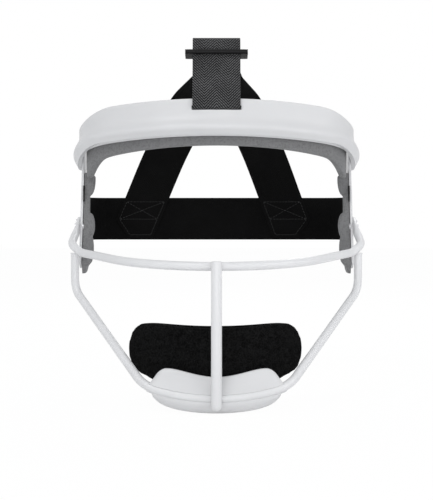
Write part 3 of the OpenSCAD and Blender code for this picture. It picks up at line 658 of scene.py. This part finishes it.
# Face frame: the strip behind the band and the two arms
STRIP_BACK, STRIP_LOW, STRIP_EDGE, STRIP_SHORT = -FIT - STRIP_WALL, -1.2, 0.4, 6.0
NOTCH_PLAY, NOTCH_DEPTH, NOTCH_H, NOTCH_LOW, NOTCH_R = 8.0, 15.0, 46.0, 3.0, 4.0
strip_rows = steps(STRIP_LOW + STRIP_EDGE, STRIP_TOP - STRIP_EDGE, 6)
strip_section = [(-FIT, v) for v in strip_rows]
strip_section += [(-FIT - STRIP_EDGE, STRIP_TOP), (STRIP_BACK + STRIP_EDGE, STRIP_TOP)]
strip_section += [(STRIP_BACK, v) for v in strip_rows[::-1]]
strip_section += [(STRIP_BACK + STRIP_EDGE, STRIP_LOW), (-FIT - STRIP_EDGE, STRIP_LOW)]


def strip_ring(s):
    return [band_point(s, u, v - top_drop(s) * max(0, v / STRIP_TOP)) for u, v in strip_section]


STRIP_END = BAND_END - STRIP_SHORT
strip = loft("frame_strip", [strip_ring(s) for s in steps(-STRIP_END, STRIP_END, 150)], 50)
# The strip's notch is open at the top, as the strap runs down through it
cut(strip, rounded_box("strip_tool", (0, -BAND_FRONT, BAND_LIP_Z + SLOT_V + NOTCH_H / 2 - NOTCH_LOW),
                       (TOP_W + NOTCH_PLAY, NOTCH_DEPTH, NOTCH_H), NOTCH_R))
finish_piece(strip, BODY, "white_plastic", plastic, "face_frame")

ARM_OUTER = BAND_HALF_W - SKIN - ARM_INSET
ARM_INNER = ARM_OUTER - ARM_WALL
SLOT_GAP = 2 * WEB_T + FOLD_PLAY
ARM_BACK = ARM_SLOT_Y + SLOT_GAP + ARM_WEB
ARM_SLOT_H = REAR_W + SLOT_PLAY
ARM_FRONT, ARM_EDGE, TOOL_OVER, TOOL_EDGE = -29.0, 0.6, 4.0, 0.01
# Corners of the arm as (y, z, radius), from its top front edge down and back up
ARM_OUTLINE = [(-1.5, 96, 3), (-3, 66, 30), (-26, -33, 40), (ARM_FRONT, 6 - ARM_TIP_Z, 5),
               (ARM_FRONT + 9, -ARM_TIP_Z, 6), (-8, 3 - ARM_TIP_Z, 12), (2, -ARM_SLOT_H / 2 - 8, 12),
               (ARM_BACK, -ARM_SLOT_H / 2 - 6, 7), (ARM_BACK, ARM_SLOT_H / 2 + 7, 7),
               (13, 52, 25), (12, 96, 3)]


def closed_path(path):
    pts = []
    for a, b, c in zip(path[-1:] + path, path, path[1:] + path[:1]):
        k = Corner(vec(*a[:2]), vec(*b[:2]), vec(*c[:2]), b[2])
        pts += [k.point(t) for t in steps(0, 1, 8)]
    return pts


arm_slot = [vec(y, z) for y, z in ((ARM_SLOT_Y, -ARM_SLOT_H / 2), (ARM_SLOT_Y + SLOT_GAP, -ARM_SLOT_H / 2),
                                   (ARM_SLOT_Y + SLOT_GAP, ARM_SLOT_H / 2), (ARM_SLOT_Y, ARM_SLOT_H / 2))]
for side, name in ((-1, "right"), (1, "left")):
    x0, x1 = sorted((side * ARM_INNER, side * ARM_OUTER))
    arm = plate("frame_arm_" + name, closed_path(ARM_OUTLINE), x0, x1, ARM_EDGE)
    cut(arm, plate("arm_tool", arm_slot, x0 - TOOL_OVER, x1 + TOOL_OVER, TOOL_EDGE))
    finish_piece(arm, BODY, "white_plastic", plastic, "face_frame")


# Bars
BEND_STEP, BAR_SIDES = 2.5, 28


def bar_stations(points, *radii):
    """Places along a bent bar, each with the way that the bar runs there."""
    out = [(points[0], unit(points[1] - points[0]))]
    for i in range(1, len(points) - 1):
        k = Corner(points[i - 1], points[i], points[i + 1], radii[i - 1])
        n = fine(k.r * math.radians(k.turn), BEND_STEP, 8)
        out += [(k.point(j / n), k.way(j / n)) for j in range(n + 1)]
    out.append((points[-1], unit(points[-1] - points[-2])))
    return out


def bar_ring(station, ref, a=BAR_R, b=BAR_R, e=1.0):
    """Ring across a bar of half widths a along ref and b across it. An exponent e below 1 squares it."""
    p, w = station
    up = unit(ref - w * (w @ ref))
    across = np.cross(w, up)
    out = []
    for j in range(BAR_SIDES):
        t = math.radians((j + 0.5) * 360 / BAR_SIDES)
        out.append(p + up * a * power(math.cos(t), e) + across * b * power(math.sin(t), e))
    return out


def flip(p):
    return p * vec(-1, 1, 1)


LEG_WAY = vec(0, cosd(LEG_SLOPE), sind(LEG_SLOPE))
PADDLE_X = ARM_OUTER + SKIN + PADDLE_T / 2
LEG_ROUND_END, LEG_INSET, LEG_R, PADDLE_START, PADDLE_END = 19.0, 1.2, 20.0, 35.0, 60.0
UP, BACK, SIDEWAYS = vec(0, 0, 1), vec(0, 1, 0), vec(1, 0, 0)


def leg_point(t):
    return vec(-PADDLE_X, LEG_BEND_Y, LEG_BEND_Z) + LEG_WAY * t


HOOP_SIDE_Y = -68.0
HOOP_SLANT = math.hypot(1, NOSE_RISE)
SIDE_TAN = math.tan(math.radians(NOSE_SIDE_ANGLE))
HOOP_APEX = NOSE_R * (math.hypot(1, HOOP_SLANT / SIDE_TAN) - 1) / HOOP_SLANT


def hoop_z(y):
    return -NOSE_Z + NOSE_RISE * (y + NOSE_FRONT)


hoop_corner = vec(-(HOOP_SIDE_Y + NOSE_FRONT + HOOP_APEX) * SIDE_TAN, HOOP_SIDE_Y, hoop_z(HOOP_SIDE_Y))
leg_bend = vec(-LEG_OUT, LEG_BEND_Y, LEG_BEND_Z)
leg_end = leg_bend + LEG_WAY * LEG_ROUND_END + vec(LEG_INSET, 0, 0)
hoop_tip = vec(0, -NOSE_FRONT - HOOP_APEX, hoop_z(-NOSE_FRONT - HOOP_APEX))
nose_points = [leg_end, leg_bend, hoop_corner, hoop_tip, flip(hoop_corner), flip(leg_bend), flip(leg_end)]
paddle_rows = [(mix(LEG_ROUND_END, PADDLE_START, t), t, 1) for t in steps(0, 1, 8)[1:]]
paddle_rows += [(PADDLE_END - PADDLE_W / 2 * (1 - sind(a)), 1, cosd(a)) for a in steps(0, 84, 10)]


def paddle_ring(row, side):
    """Ring of the flattened end: at along the leg, t from round to flat, close from full width to shut."""
    at, t, close = row
    k = smooth(0, 1, t)
    p = vec(mix(leg_end[0], -PADDLE_X, k), *leg_point(at)[1:])
    w = mix(BAR_R, PADDLE_W / 2, k) * close
    place = p if side > 0 else flip(p)
    return bar_ring((place, vec(0, -side * LEG_WAY[1], -side * LEG_WAY[2])), UP, w,
                    mix(BAR_R, PADDLE_T / 2, k), mix(1, 0.5, k))


nose = loft("nose_bar_tube", [paddle_ring(r, 1) for r in paddle_rows[::-1]]
            + [bar_ring(k, UP) for k in bar_stations(nose_points, LEG_R, LEG_R, NOSE_R, LEG_R, LEG_R)]
            + [paddle_ring(r, -1) for r in paddle_rows], 50)
finish_piece(nose, BODY, "white_coating", coating, "nose_bar")

POST_X, POST_Y, POST_R, LEG_UNDER = 153.2, -62.0, 22.0, -33.6
CHIN_WAY = vec(0, -cosd(CHIN_DIP), -sind(CHIN_DIP))
CHIN_HALF = CHIN_BOW_R * sind(CHIN_SLOPE) + CHIN_CORNER_RUN
CHIN_TIP = vec(0, -JAW_FRONT, -JAW_Z) + CHIN_WAY * CHIN_BOW_R * (1 / cosd(CHIN_SLOPE) - 1)
CHIN_SIDE = CHIN_TIP - CHIN_WAY * CHIN_HALF * math.tan(math.radians(CHIN_SLOPE)) - vec(CHIN_HALF, 0, 0)
POST_TOP = LEG_UNDER - BAR_R + WELD_BITE
jaw_points = [vec(-POST_X, POST_Y, POST_TOP), vec(-POST_X, POST_Y, -JAW_TURN_Z), CHIN_SIDE, CHIN_TIP,
              flip(CHIN_SIDE), vec(POST_X, POST_Y, -JAW_TURN_Z), vec(POST_X, POST_Y, POST_TOP)]
jaw_stations = bar_stations(jaw_points, POST_R, CHIN_CORNER_R, CHIN_BOW_R, CHIN_CORNER_R, POST_R)
jaw = loft("jaw_bar_tube", [bar_ring(k, BACK) for k in jaw_stations], 50)
finish_piece(jaw, BODY, "white_coating", coating, "jaw_bar")

CENTRE_R, CENTRE_EDGE = CENTRE_D / 2, 1.2
CENTRE_Y = -min(NOSE_FRONT, JAW_FRONT) - BAR_R - CENTRE_R + WELD_BITE
rows = []
top, foot = -NOSE_Z + CENTRE_R, -JAW_Z - CENTRE_TAIL + CENTRE_R
for a in steps(80, 0, 6):
    rows.append((top - CENTRE_EDGE * (1 - sind(a)), CENTRE_R - CENTRE_EDGE * (1 - cosd(a))))
rows += [(z, CENTRE_R) for z in steps(top - CENTRE_EDGE, foot, 20)[1:]]
rows += [(foot - CENTRE_R * sind(a), CENTRE_R * cosd(a)) for a in steps(0, 86, 9)[1:]]
turns = steps(0, 360, BAR_SIDES)[:-1]
rings = [[vec(r * cosd(t), CENTRE_Y + r * sind(t), z) for t in turns] for z, r in rows]
centre = loft("centre_bar_rod", rings, 60)
finish_piece(centre, BODY, "white_coating", coating, "centre_bar")

# Weld beads, each sized as a share of the bars that it joins
WELD_SHARE, WELD_R, POST_SHARE, POST_WELD_R, POST_WELD_DOWN = 0.62, 1.1, 0.94, 0.9, 0.6
WELD_Y = CENTRE_Y + CENTRE_R - WELD_BITE / 2
for name, z in (("weld_centre_nose", -NOSE_Z), ("weld_centre_jaw", -JAW_Z)):
    weld = bead(name, vec(0, WELD_Y, z), BACK, UP, BAR_R * WELD_SHARE, CENTRE_R * WELD_SHARE, WELD_R)
    finish_piece(weld, BODY, "white_coating", coating)
for side, name in ((-1, "right"), (1, "left")):
    weld = bead("weld_post_" + name, vec(side * POST_X, POST_Y, POST_TOP - POST_WELD_DOWN), UP, SIDEWAYS,
                BAR_R * POST_SHARE, BAR_R * POST_SHARE, POST_WELD_R)
    finish_piece(weld, BODY, "white_coating", coating)

# Chin cup. Its channel stands closer to the bar than CHANNEL_GAP, as the photograph shows no gap there
CHANNEL_R, CHANNEL_OPEN, CUP_PART, CUP_FLOOR_END = BAR_R + 0.04, 50.0, 0.36, 0.45
bow = Corner(jaw_points[2], jaw_points[3], jaw_points[4], CHIN_BOW_R)
bow_side = Corner(jaw_points[1], jaw_points[2], jaw_points[3], CHIN_CORNER_R)
cup_side = [(bow_side.point(t), bow_side.way(t)) for t in steps(1 - CUP_PART, 1, 40)]
cup_path = cup_side + [(bow.point(t), bow.way(t)) for t in steps(0, 1, 60)[1:-1]]
cup_path += [(flip(p), way * vec(1, -1, -1)) for p, way in cup_side[::-1]]
CUP_HALF = -cup_path[0][0][0]
CUP_LEAST = CHANNEL_R + 1.2


def cup_section(up, down):
    """Cup section as (outward, up) from the bar's middle: the upper lip, the bar's channel, the lower lip,
    the floor under the pad and the inside."""
    c, inner = CHANNEL_R, -CHANNEL_R - CUP_WALL
    lip, edge = c * sind(CHANNEL_OPEN), c * cosd(CHANNEL_OPEN) + 0.5
    pts = [(inner + 0.4, up), (inner + 1.4, up + 0.5), (inner + 2.6, up + 0.3), (inner + 3.5, up - 0.7),
           (-2, mix(lip, up, 0.6)), (1.2, max(CUP_LEAST - 0.6, mix(lip, up, 0.25))), (edge, lip + 0.7)]
    pts += [(c * cosd(a), c * sind(a)) for a in steps(CHANNEL_OPEN, 360 - CHANNEL_OPEN, 16)]
    pts += [(edge, -lip - 0.7), (2.6, -mix(lip, down, 0.35)), (0.8, -mix(lip, down, 0.7)),
            (-3, -down + 0.5), (-8, -down), (-CUP_FLOOR + 1, -down + 1), (-CUP_FLOOR, -down + 2.2),
            (-CUP_FLOOR + 1, -down + 3), (inner - 3, -down + CUP_WALL), (inner, -down + CUP_WALL + 2),
            (inner, lip), (inner, up - 1)]
    return pts


rings = []
for p, way in cup_path:
    out = unit(vec(way[1], -way[0], 0))
    high = np.cross(out, way)
    x = abs(p[0])
    f = math.sqrt(max(0, 1 - (x / (CUP_HALF + 0.8)) ** 10))
    g = math.sqrt(max(0, 1 - min(1, x / CUP_LOW_HALF) ** 6))
    hump = CUP_HUMP * (1 - cosd(min(1, x / CUP_HUMP_X) * 180)) / 2
    up, down = mix(CUP_LEAST, CUP_UP + hump, f), mix(CUP_LEAST, CUP_DOWN, g)
    floor_at = -CUP_FLOOR * mix(CUP_FLOOR_END, 1, g)
    rings.append([p + out * max(n, floor_at) + high * z for n, z in cup_section(up, down)])
cup = loft("chin_cup_shell", rings, 60)
finish_piece(cup, BODY, "white_plastic", plastic, "chin_cup")

# Chin pad, drawn round a centre behind it and piped along its edge
CHIN_PAD_FRONT = -JAW_FRONT + BAR_R + CHANNEL_GAP + CUP_WALL + PAD_GAP
CHIN_SHIFT, CHIN_SHOULDER, CHIN_SHOULDER_FALL, CHIN_END_THICK = -1.2, 4.6, 10.0, 0.3
PIPING_R, PIPING_IN = 0.9, 0.6
chin_middle = vec(CHIN_SHIFT, CHIN_PAD_FRONT + CHIN_R)
rings, seam_top, seam_low, seam_out = [], [], [], []
for i in range(81):
    t = -cosd(i * 180 / 80)
    way = vec(sind(t * CHIN_ANGLE), -cosd(t * CHIN_ANGLE))
    f = math.sqrt(max(0.0009, 1 - abs(t) ** 18))
    top = mix(CHIN_END_Z, CHIN_TOP + CHIN_SHOULDER * t**2 - CHIN_SHOULDER_FALL * t**6, f)
    low = mix(CHIN_END_Z, CHIN_LOW + CHIN_LIFT * smooth(0.2, 0.95, abs(t)), f)
    thick = CHIN_T * mix(CHIN_END_THICK, 1, max(0, 1 - abs(t) ** 5) ** 0.5)
    edge_at = chin_middle + way * (CHIN_R - thick / 2)
    inset = PIPING_IN * min(1, f * 2)
    seam_top.append(vec(*edge_at, top - inset))
    seam_low.append(vec(*edge_at, low + inset))
    seam_out.append(vec(*way, 0))
    ring = []
    for j in range(48):
        b = j * 360 / 48
        n = thick / 2 * (1 + power(cosd(b), 0.7))
        z = (top + low) / 2 + (top - low) / 2 * power(sind(b), 0.62)
        ring.append(vec(*(chin_middle + way * (CHIN_R - thick + n)), z))
    rings.append(ring)
chin = loft("chin_cushion", rings, 70)
padded_cloth(chin)
finish_piece(chin, BODY, "black_cover", cover, "chin_pad")
piping = closed_tube("chin_piping", seam_top + seam_low[::-1], seam_out + seam_out[::-1], PIPING_R)
finish_piece(piping, BODY, "black_cover", cover)

# Brow pad
PAD_BACK = STRIP_BACK - PAD_GAP
BROW_END, BROW_EDGE, BROW_EDGE_THIN = BAND_END - 30, 5.0, 0.35
BROW_BOW, BROW_END_DROP, BROW_END_RUN = 2.2, 11.0, 45.0
rings = []
for s in steps(-BROW_END, BROW_END, 140):
    low = -BROW_DROP - BROW_BOW * (s / 100) ** 2
    low -= BROW_END_DROP * smooth(BROW_END - BROW_END_RUN, BROW_END, abs(s))
    top = PAD_TOP - top_drop(s)
    mid, half = (top + low) / 2, (top - low) / 2
    e = max(0, (abs(s) - BROW_END + BROW_EDGE) / BROW_EDGE)
    thick = BROW_PAD_T * (1 - BROW_EDGE_THIN * e * e)
    ring = []
    for a in steps(5, 355, 35):
        out = PAD_BACK - thick / 2 + thick / 2 * power(cosd(a), 0.55)
        ring.append(band_point(s, out, mid + half * power(sind(a), 0.4)))
    rings.append(ring)
brow = loft("brow_foam", rings, 60)
finish_piece(brow, BODY, "grey_foam", foam, "brow_pad")

# Temple pads
TEMPLE_OUTER = ARM_INNER - PAD_GAP / 2
TEMPLE_TOP, TEMPLE_LOW, TEMPLE_TAPER = 52.0, -ARM_TIP_Z - 5, 0.4
TOE_RUN, TOE_SHORT, TOE_BACK, CREST_RUN = 13.0, 10.0, 8.0, 5.0
# Height, half length and depth of each lobe
LOBES = [(43.5, 17.5, 6.4), (-8.5, 15, 6.7), (-35, 19, 6.0)]


def arm_edge(z):
    """Front edge of the arm at height z, as its outline has it."""
    return -3 if z > 66 else mix(-3, -26, (66 - z) / 99) - max(0, -33 - z) * 0.16


def temple_ring(z, side):
    toe = math.sqrt(min(1, max(0.02, (z - TEMPLE_LOW) / TOE_RUN)))
    crest = 1 - smooth(TEMPLE_TOP - CREST_RUN, TEMPLE_TOP + 0.1, z)
    lobe = max(h * math.sqrt(max(0, 1 - ((z - m) / w) ** 2)) for m, w, h in LOBES)
    thick = (TEMPLE_T + lobe) * mix(0.25, 1, toe) * mix(0.7, 1, crest)
    thick = mix(min(thick, TEMPLE_T * 0.75), thick, smooth(TEMPLE_LOW, TEMPLE_LOW + TOE_RUN, z))
    front = arm_edge(z) + 1.2 + TOE_SHORT * (1 - toe)
    back = ARM_SLOT_Y - 2.5 - TOE_BACK * (1 - toe)
    ring = []
    for t in steps(0, 1, 24):
        depth = thick * (1 - TEMPLE_TAPER * t) * (1 - abs(2 * t - 1) ** 6) ** 0.5
        ring.append(vec(side * (TEMPLE_OUTER - depth), mix(front, back, t), z))
    return ring


for side, name in ((-1, "right"), (1, "left")):
    rings = [temple_ring(z, side) for z in steps(TEMPLE_LOW, TEMPLE_TOP, 110)]
    pad = loft("temple_foam_" + name, rings, 60)
    finish_piece(pad, BODY, "grey_foam", foam, "temple_pad_" + name)


# Webbing with soft rims
def rim(width, thick):
    """Section of webbing, with its rims rounded."""
    r = min(0.7, thick * 0.35)
    pts = []
    for sx, sy, a0 in QUARTERS:
        for a in steps(a0, a0 + 90, 3):
            pts.append((sx * (width / 2 - r) + r * cosd(a), sy * (thick / 2 - r) + r * sind(a)))
    return pts


def web_along(name, pts, width, upright):
    """Strap along a flat path. An upright path lies in X and Y, the other kind in Y and Z."""
    section = rim(width, WEB_T)
    rings = []
    for p, n in zip(pts, normals(pts)):
        ring = []
        for a, b in section:
            q = p + n * b
            ring.append(vec(q[0], q[1], a) if upright else vec(a, q[0], q[1]))
        rings.append(ring)
    return loft(name, rings, 50, [a for a, _ in section])


# Top strap
LEAN_WAY, LEAN_BACK = vec(sind(LEAN), cosd(LEAN)), vec(cosd(LEAN), -sind(LEAN))
STRAP_OUT = -BAND_FRONT - BAND_WALL - WEB_T / 2 - FIT
STRAP_IN = -BAND_FRONT + TOP_W**2 / 8 / BAND_FRONT_R + WEB_T / 2 + FIT
SLOT_FLOOR = BAND_LIP_Z + SLOT_V + WEB_T / 2 + 0.5
BAND_TOP = BAND_LIP_Z + BAND_H
STRAP_BASE = vec(STRAP_OUT, BAND_TOP + 2)
TAIL_TOP, TAIL_BEND, REAR_RUN_END = 30.0, 7.0, 32.0


def strap_at(u, m):
    """Point u up the leaning run of the top strap and m behind it, as (y, z)."""
    return STRAP_BASE + LEAN_WAY * u + LEAN_BACK * m


def with_r(p, r):
    return (p[0], p[1], r)


TURN_R, LOOP_R = (STRAP_IN - STRAP_OUT) / 2 - SHUT, RUNS / 2 - SHUT
top_path = [with_r(strap_at(TAIL_TOP, LAYER), 0), with_r(strap_at(TAIL_BEND, LAYER), 6),
            (STRAP_IN, BAND_TOP - 0.4, 4), (STRAP_IN, SLOT_FLOOR, TURN_R), (STRAP_OUT, SLOT_FLOOR, TURN_R),
            with_r(STRAP_BASE, 20), with_r(strap_at(RISE, 0), LOOP_R), with_r(strap_at(RISE, RUNS), LOOP_R),
            with_r(strap_at(REAR_RUN_END, RUNS), 0)]
top_web = web_along("top_webbing", open_path(top_path, 2.0), TOP_W, False)
finish_piece(top_web, BODY, "grey_webbing", grey_web, "top_strap")

# Crown straps
CROWN_TOP, CROWN_BEND, STRAP_END_Z = 40.0, 25.0, -23.5
# Corners of the run over the head, as (y, z, radius)
CROWN_OVER, CROWN_DOWN = (2, 132, 120), (54, 90)
LIFT_FROM, LIFT_TO, CROWN_CUT, CUT_SLANT = 85.0, 125.0, 22.0, 1.15
SEAM_IN, SEAM_RUN = 4.0, 44.0
CROWN_REAR = REAR_Y - WEB_T - FIT
crown_path = open_path([with_r(strap_at(CROWN_TOP, RUNS + LAYER), 0),
                        with_r(strap_at(CROWN_BEND, RUNS + LAYER), 7),
                        CROWN_OVER, (CROWN_REAR, *CROWN_DOWN), (CROWN_REAR, STRAP_END_Z, 0)], 2.5)
crown_normals = normals(crown_path)
runs = [0.0]
for a, b in zip(crown_path, crown_path[1:]):
    runs.append(runs[-1] + np.linalg.norm(b - a))
CROWN_LEN = runs[-1]


def crown_strap(name, side, lift, ends, node_name):
    """Strap that runs across from ends[0] to ends[1], lifted near its top to pass over the other one,
    and sewn at its low end."""
    skew = (ends[1] - ends[0]) / CROWN_LEN
    reach = CROWN_W / 2 * math.sqrt(1 + skew**2)

    def edges(s):
        x = ends[0] + skew * s
        cut_off = max(0, s - CROWN_LEN + CROWN_CUT) * CUT_SLANT
        return max(x - reach, 0.3 - TOP_W / 2), x + reach - cut_off

    rings = []
    for p, n, s in zip(crown_path, crown_normals, runs):
        q = p + n * lift * (1 - smooth(LIFT_FROM, LIFT_TO, s))
        low, high = edges(s)
        rings.append([vec(side * ((low + high) / 2 + a), *(q + n * b)) for a, b in rim(high - low, WEB_T)])
    strap = loft(name, rings, 50, [a for a, _ in rim(CROWN_W, WEB_T)])

    def spot(s, across):
        low, high = edges(s)
        i = min(range(len(runs)), key=lambda k: abs(runs[k] - s))
        y, z = crown_path[i] + vec(0, runs[i] - s) - crown_normals[i] * WEB_T / 2
        return vec(side * mix(low + SEAM_IN, high - SEAM_IN, across), y, z)

    first, last, toe = CROWN_LEN - SEAM_RUN, CROWN_LEN - CROWN_CUT - 1, CROWN_LEN - SEAM_IN
    corners = [(first, 0), (first, 1), (last, 1), (toe, 1), (toe, 0), (last, 0)]
    sewn = list(zip(corners, corners[1:] + corners[:1]))
    sewn += [((first, 0), (last, 1)), ((first, 1), (last, 0)), ((last, 0), (last, 1))]
    seam = stitches(name + "_stitches", [(spot(*a), spot(*b), -BACK) for a, b in sewn])
    finish_piece(seam, BODY, "black_webbing", thread)
    finish_piece(strap, BODY, "black_webbing", black_web, node_name)


crown_strap("crown_webbing_left", 1, 0, CROWN_LEFT, "crown_strap_left")
crown_strap("crown_webbing_right", -1, LAYER, CROWN_RIGHT, "crown_strap_right")

# Rear strap
FOLD_IN, FOLD_OUT = ARM_INNER - WEB_T / 2 - FIT, ARM_OUTER + WEB_T / 2 + FIT
FOLD_Y, TAB_T = ARM_SLOT_Y + WEB_T / 2 + 0.7, 1.6
FOLD_LAYER = WEB_T + TAB_T + 2 * SKIN
REAR_OFF, REAR_R, REAR_LAP_X, REAR_BEND_R = 0.55, 24.0, 96.0, 20.0
REAR_SIDE = ARM_OUTER + REAR_OFF
FOLD_R = (FOLD_OUT - FOLD_IN) / 2 - SHUT
# The lapped end, round the corner and forward, through the arm's slot, and back to the rear run
rear_half = [(REAR_LAP_X, REAR_Y + FOLD_LAYER, 0),
             (REAR_SIDE + FOLD_LAYER, REAR_Y + FOLD_LAYER, REAR_R + FOLD_LAYER),
             (REAR_SIDE + FOLD_LAYER, 40, REAR_BEND_R), (FOLD_OUT, ARM_BACK + 1, REAR_BEND_R),
             (FOLD_OUT, FOLD_Y, FOLD_R), (FOLD_IN, FOLD_Y, FOLD_R), (FOLD_IN, ARM_BACK + 1, REAR_BEND_R),
             (REAR_SIDE, 44, 16), (REAR_SIDE, REAR_Y, REAR_R)]
rear_path = rear_half + [(-x, y, r) for x, y, r in rear_half[::-1]]
rear = web_along("rear_webbing", open_path(rear_path, 3.0), REAR_W, True)
finish_piece(rear, BODY, "black_webbing", elastic, "rear_strap")

# CAD nodes that keep their shape
kept_nodes = (
    (steel, ("band_screws", "bar_rivets", "rivet_washers", "cup_screws")),
    (hooks, ("chin_hook_tape", "brow_hook_tape", "temple_hook_tape",
             "rear_hook_tab_left", "rear_hook_tab_right")),
    (cover, ("crown_patch",)),
    (black_plastic, ("slider",)),
)
for material, names in kept_nodes:
    for name in names:
        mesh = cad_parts[name].data
        mesh.materials.clear()
        mesh.materials.append(material)

# Floor, light and camera
WHITE = (1, 1, 1, 1)
FLOOR_SIZE, FLOOR_DROP, FLOOR_GLOW, SKY = 12, 0.0002, 0.97, 0.62


def stage_tree(owner, output):
    """Empty node tree with its output, and a value that is 1 for what the camera and reflections see."""
    owner.use_nodes = True
    nt = owner.node_tree
    nt.nodes.clear()
    seen = nt.nodes.new("ShaderNodeLightPath").outputs
    return nt, nt.nodes.new(output), maths(nt, "MAXIMUM", seen["Is Camera Ray"], seen["Is Glossy Ray"])


def mixed(nt, out, fac, unseen, seen):
    both = nt.nodes.new("ShaderNodeMixShader")
    for socket, value in zip(both.inputs, (fac, unseen.outputs[0], seen.outputs[0])):
        nt.links.new(value, socket)
    nt.links.new(both.outputs[0], out.inputs[0])


backdrop = bpy.data.materials.new("backdrop")
nt, out, seen = stage_tree(backdrop, "ShaderNodeOutputMaterial")
mixed(nt, out, scaled(nt, seen, FLOOR_GLOW), node(nt, "ShaderNodeBsdfDiffuse", Color=WHITE),
      node(nt, "ShaderNodeEmission", Color=WHITE, Strength=1.0))
bpy.ops.mesh.primitive_plane_add(size=FLOOR_SIZE, location=(0, 0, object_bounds()[0][2] - FLOOR_DROP))
floor = bpy.context.object
floor.name = "floor"
floor.data.materials.append(backdrop)

world = bpy.data.worlds.new("studio")
bpy.context.scene.world = world
nt, out, seen = stage_tree(world, "ShaderNodeOutputWorld")
mixed(nt, out, seen, node(nt, "ShaderNodeBackground", Color=(0.95, 0.97, 1, 1), Strength=SKY),
      node(nt, "ShaderNodeBackground", Color=WHITE, Strength=1.0))


def area_light(name, place, aim, size, watts):
    lamp = bpy.data.lights.new(name, "AREA")
    lamp.shape = "DISK"
    lamp.size = size
    lamp.energy = watts
    obj = bpy.data.objects.new(name, lamp)
    bpy.context.collection.objects.link(obj)
    obj.location = place
    obj.rotation_euler = (Vector(aim) - Vector(place)).to_track_quat("-Z", "Y").to_euler()


MIDDLE, CHIN = (0, 0, 0), (0, -0.15, -0.17)
# Name, place, aim, size in metres and watts
LAMPS = (
    ("key", (-0.7, -1.3, 1.5), MIDDLE, 0.9, 9),
    ("fill", (1.2, -1.0, 0.6), MIDDLE, 1.1, 5),
    ("low", (0, -1.1, -0.12), CHIN, 0.5, 2),
    ("rim", (0.2, 1.2, 1.0), MIDDLE, 0.8, 6),
)
for lamp in LAMPS:
    area_light(*lamp)

# The photograph's camera: level, straight in front, its picture shifted down
CAMERA_AT, LENS, SENSOR, SHIFT = (0, -1.154, -0.004), 72.6, 36, -28 / 500
camera_data = bpy.data.cameras.new("photo")
camera = bpy.data.objects.new("photo", camera_data)
bpy.context.collection.objects.link(camera)
camera_data.sensor_fit = "VERTICAL"
camera_data.sensor_height = SENSOR
camera_data.sensor_width = SENSOR
camera_data.lens = LENS
camera_data.shift_y = SHIFT
camera_data.clip_start = 0.01
camera.location = CAMERA_AT
camera.rotation_euler = (math.radians(90), 0, 0)
bpy.context.scene.camera = camera
bpy.context.scene.view_settings.view_transform = "Standard"
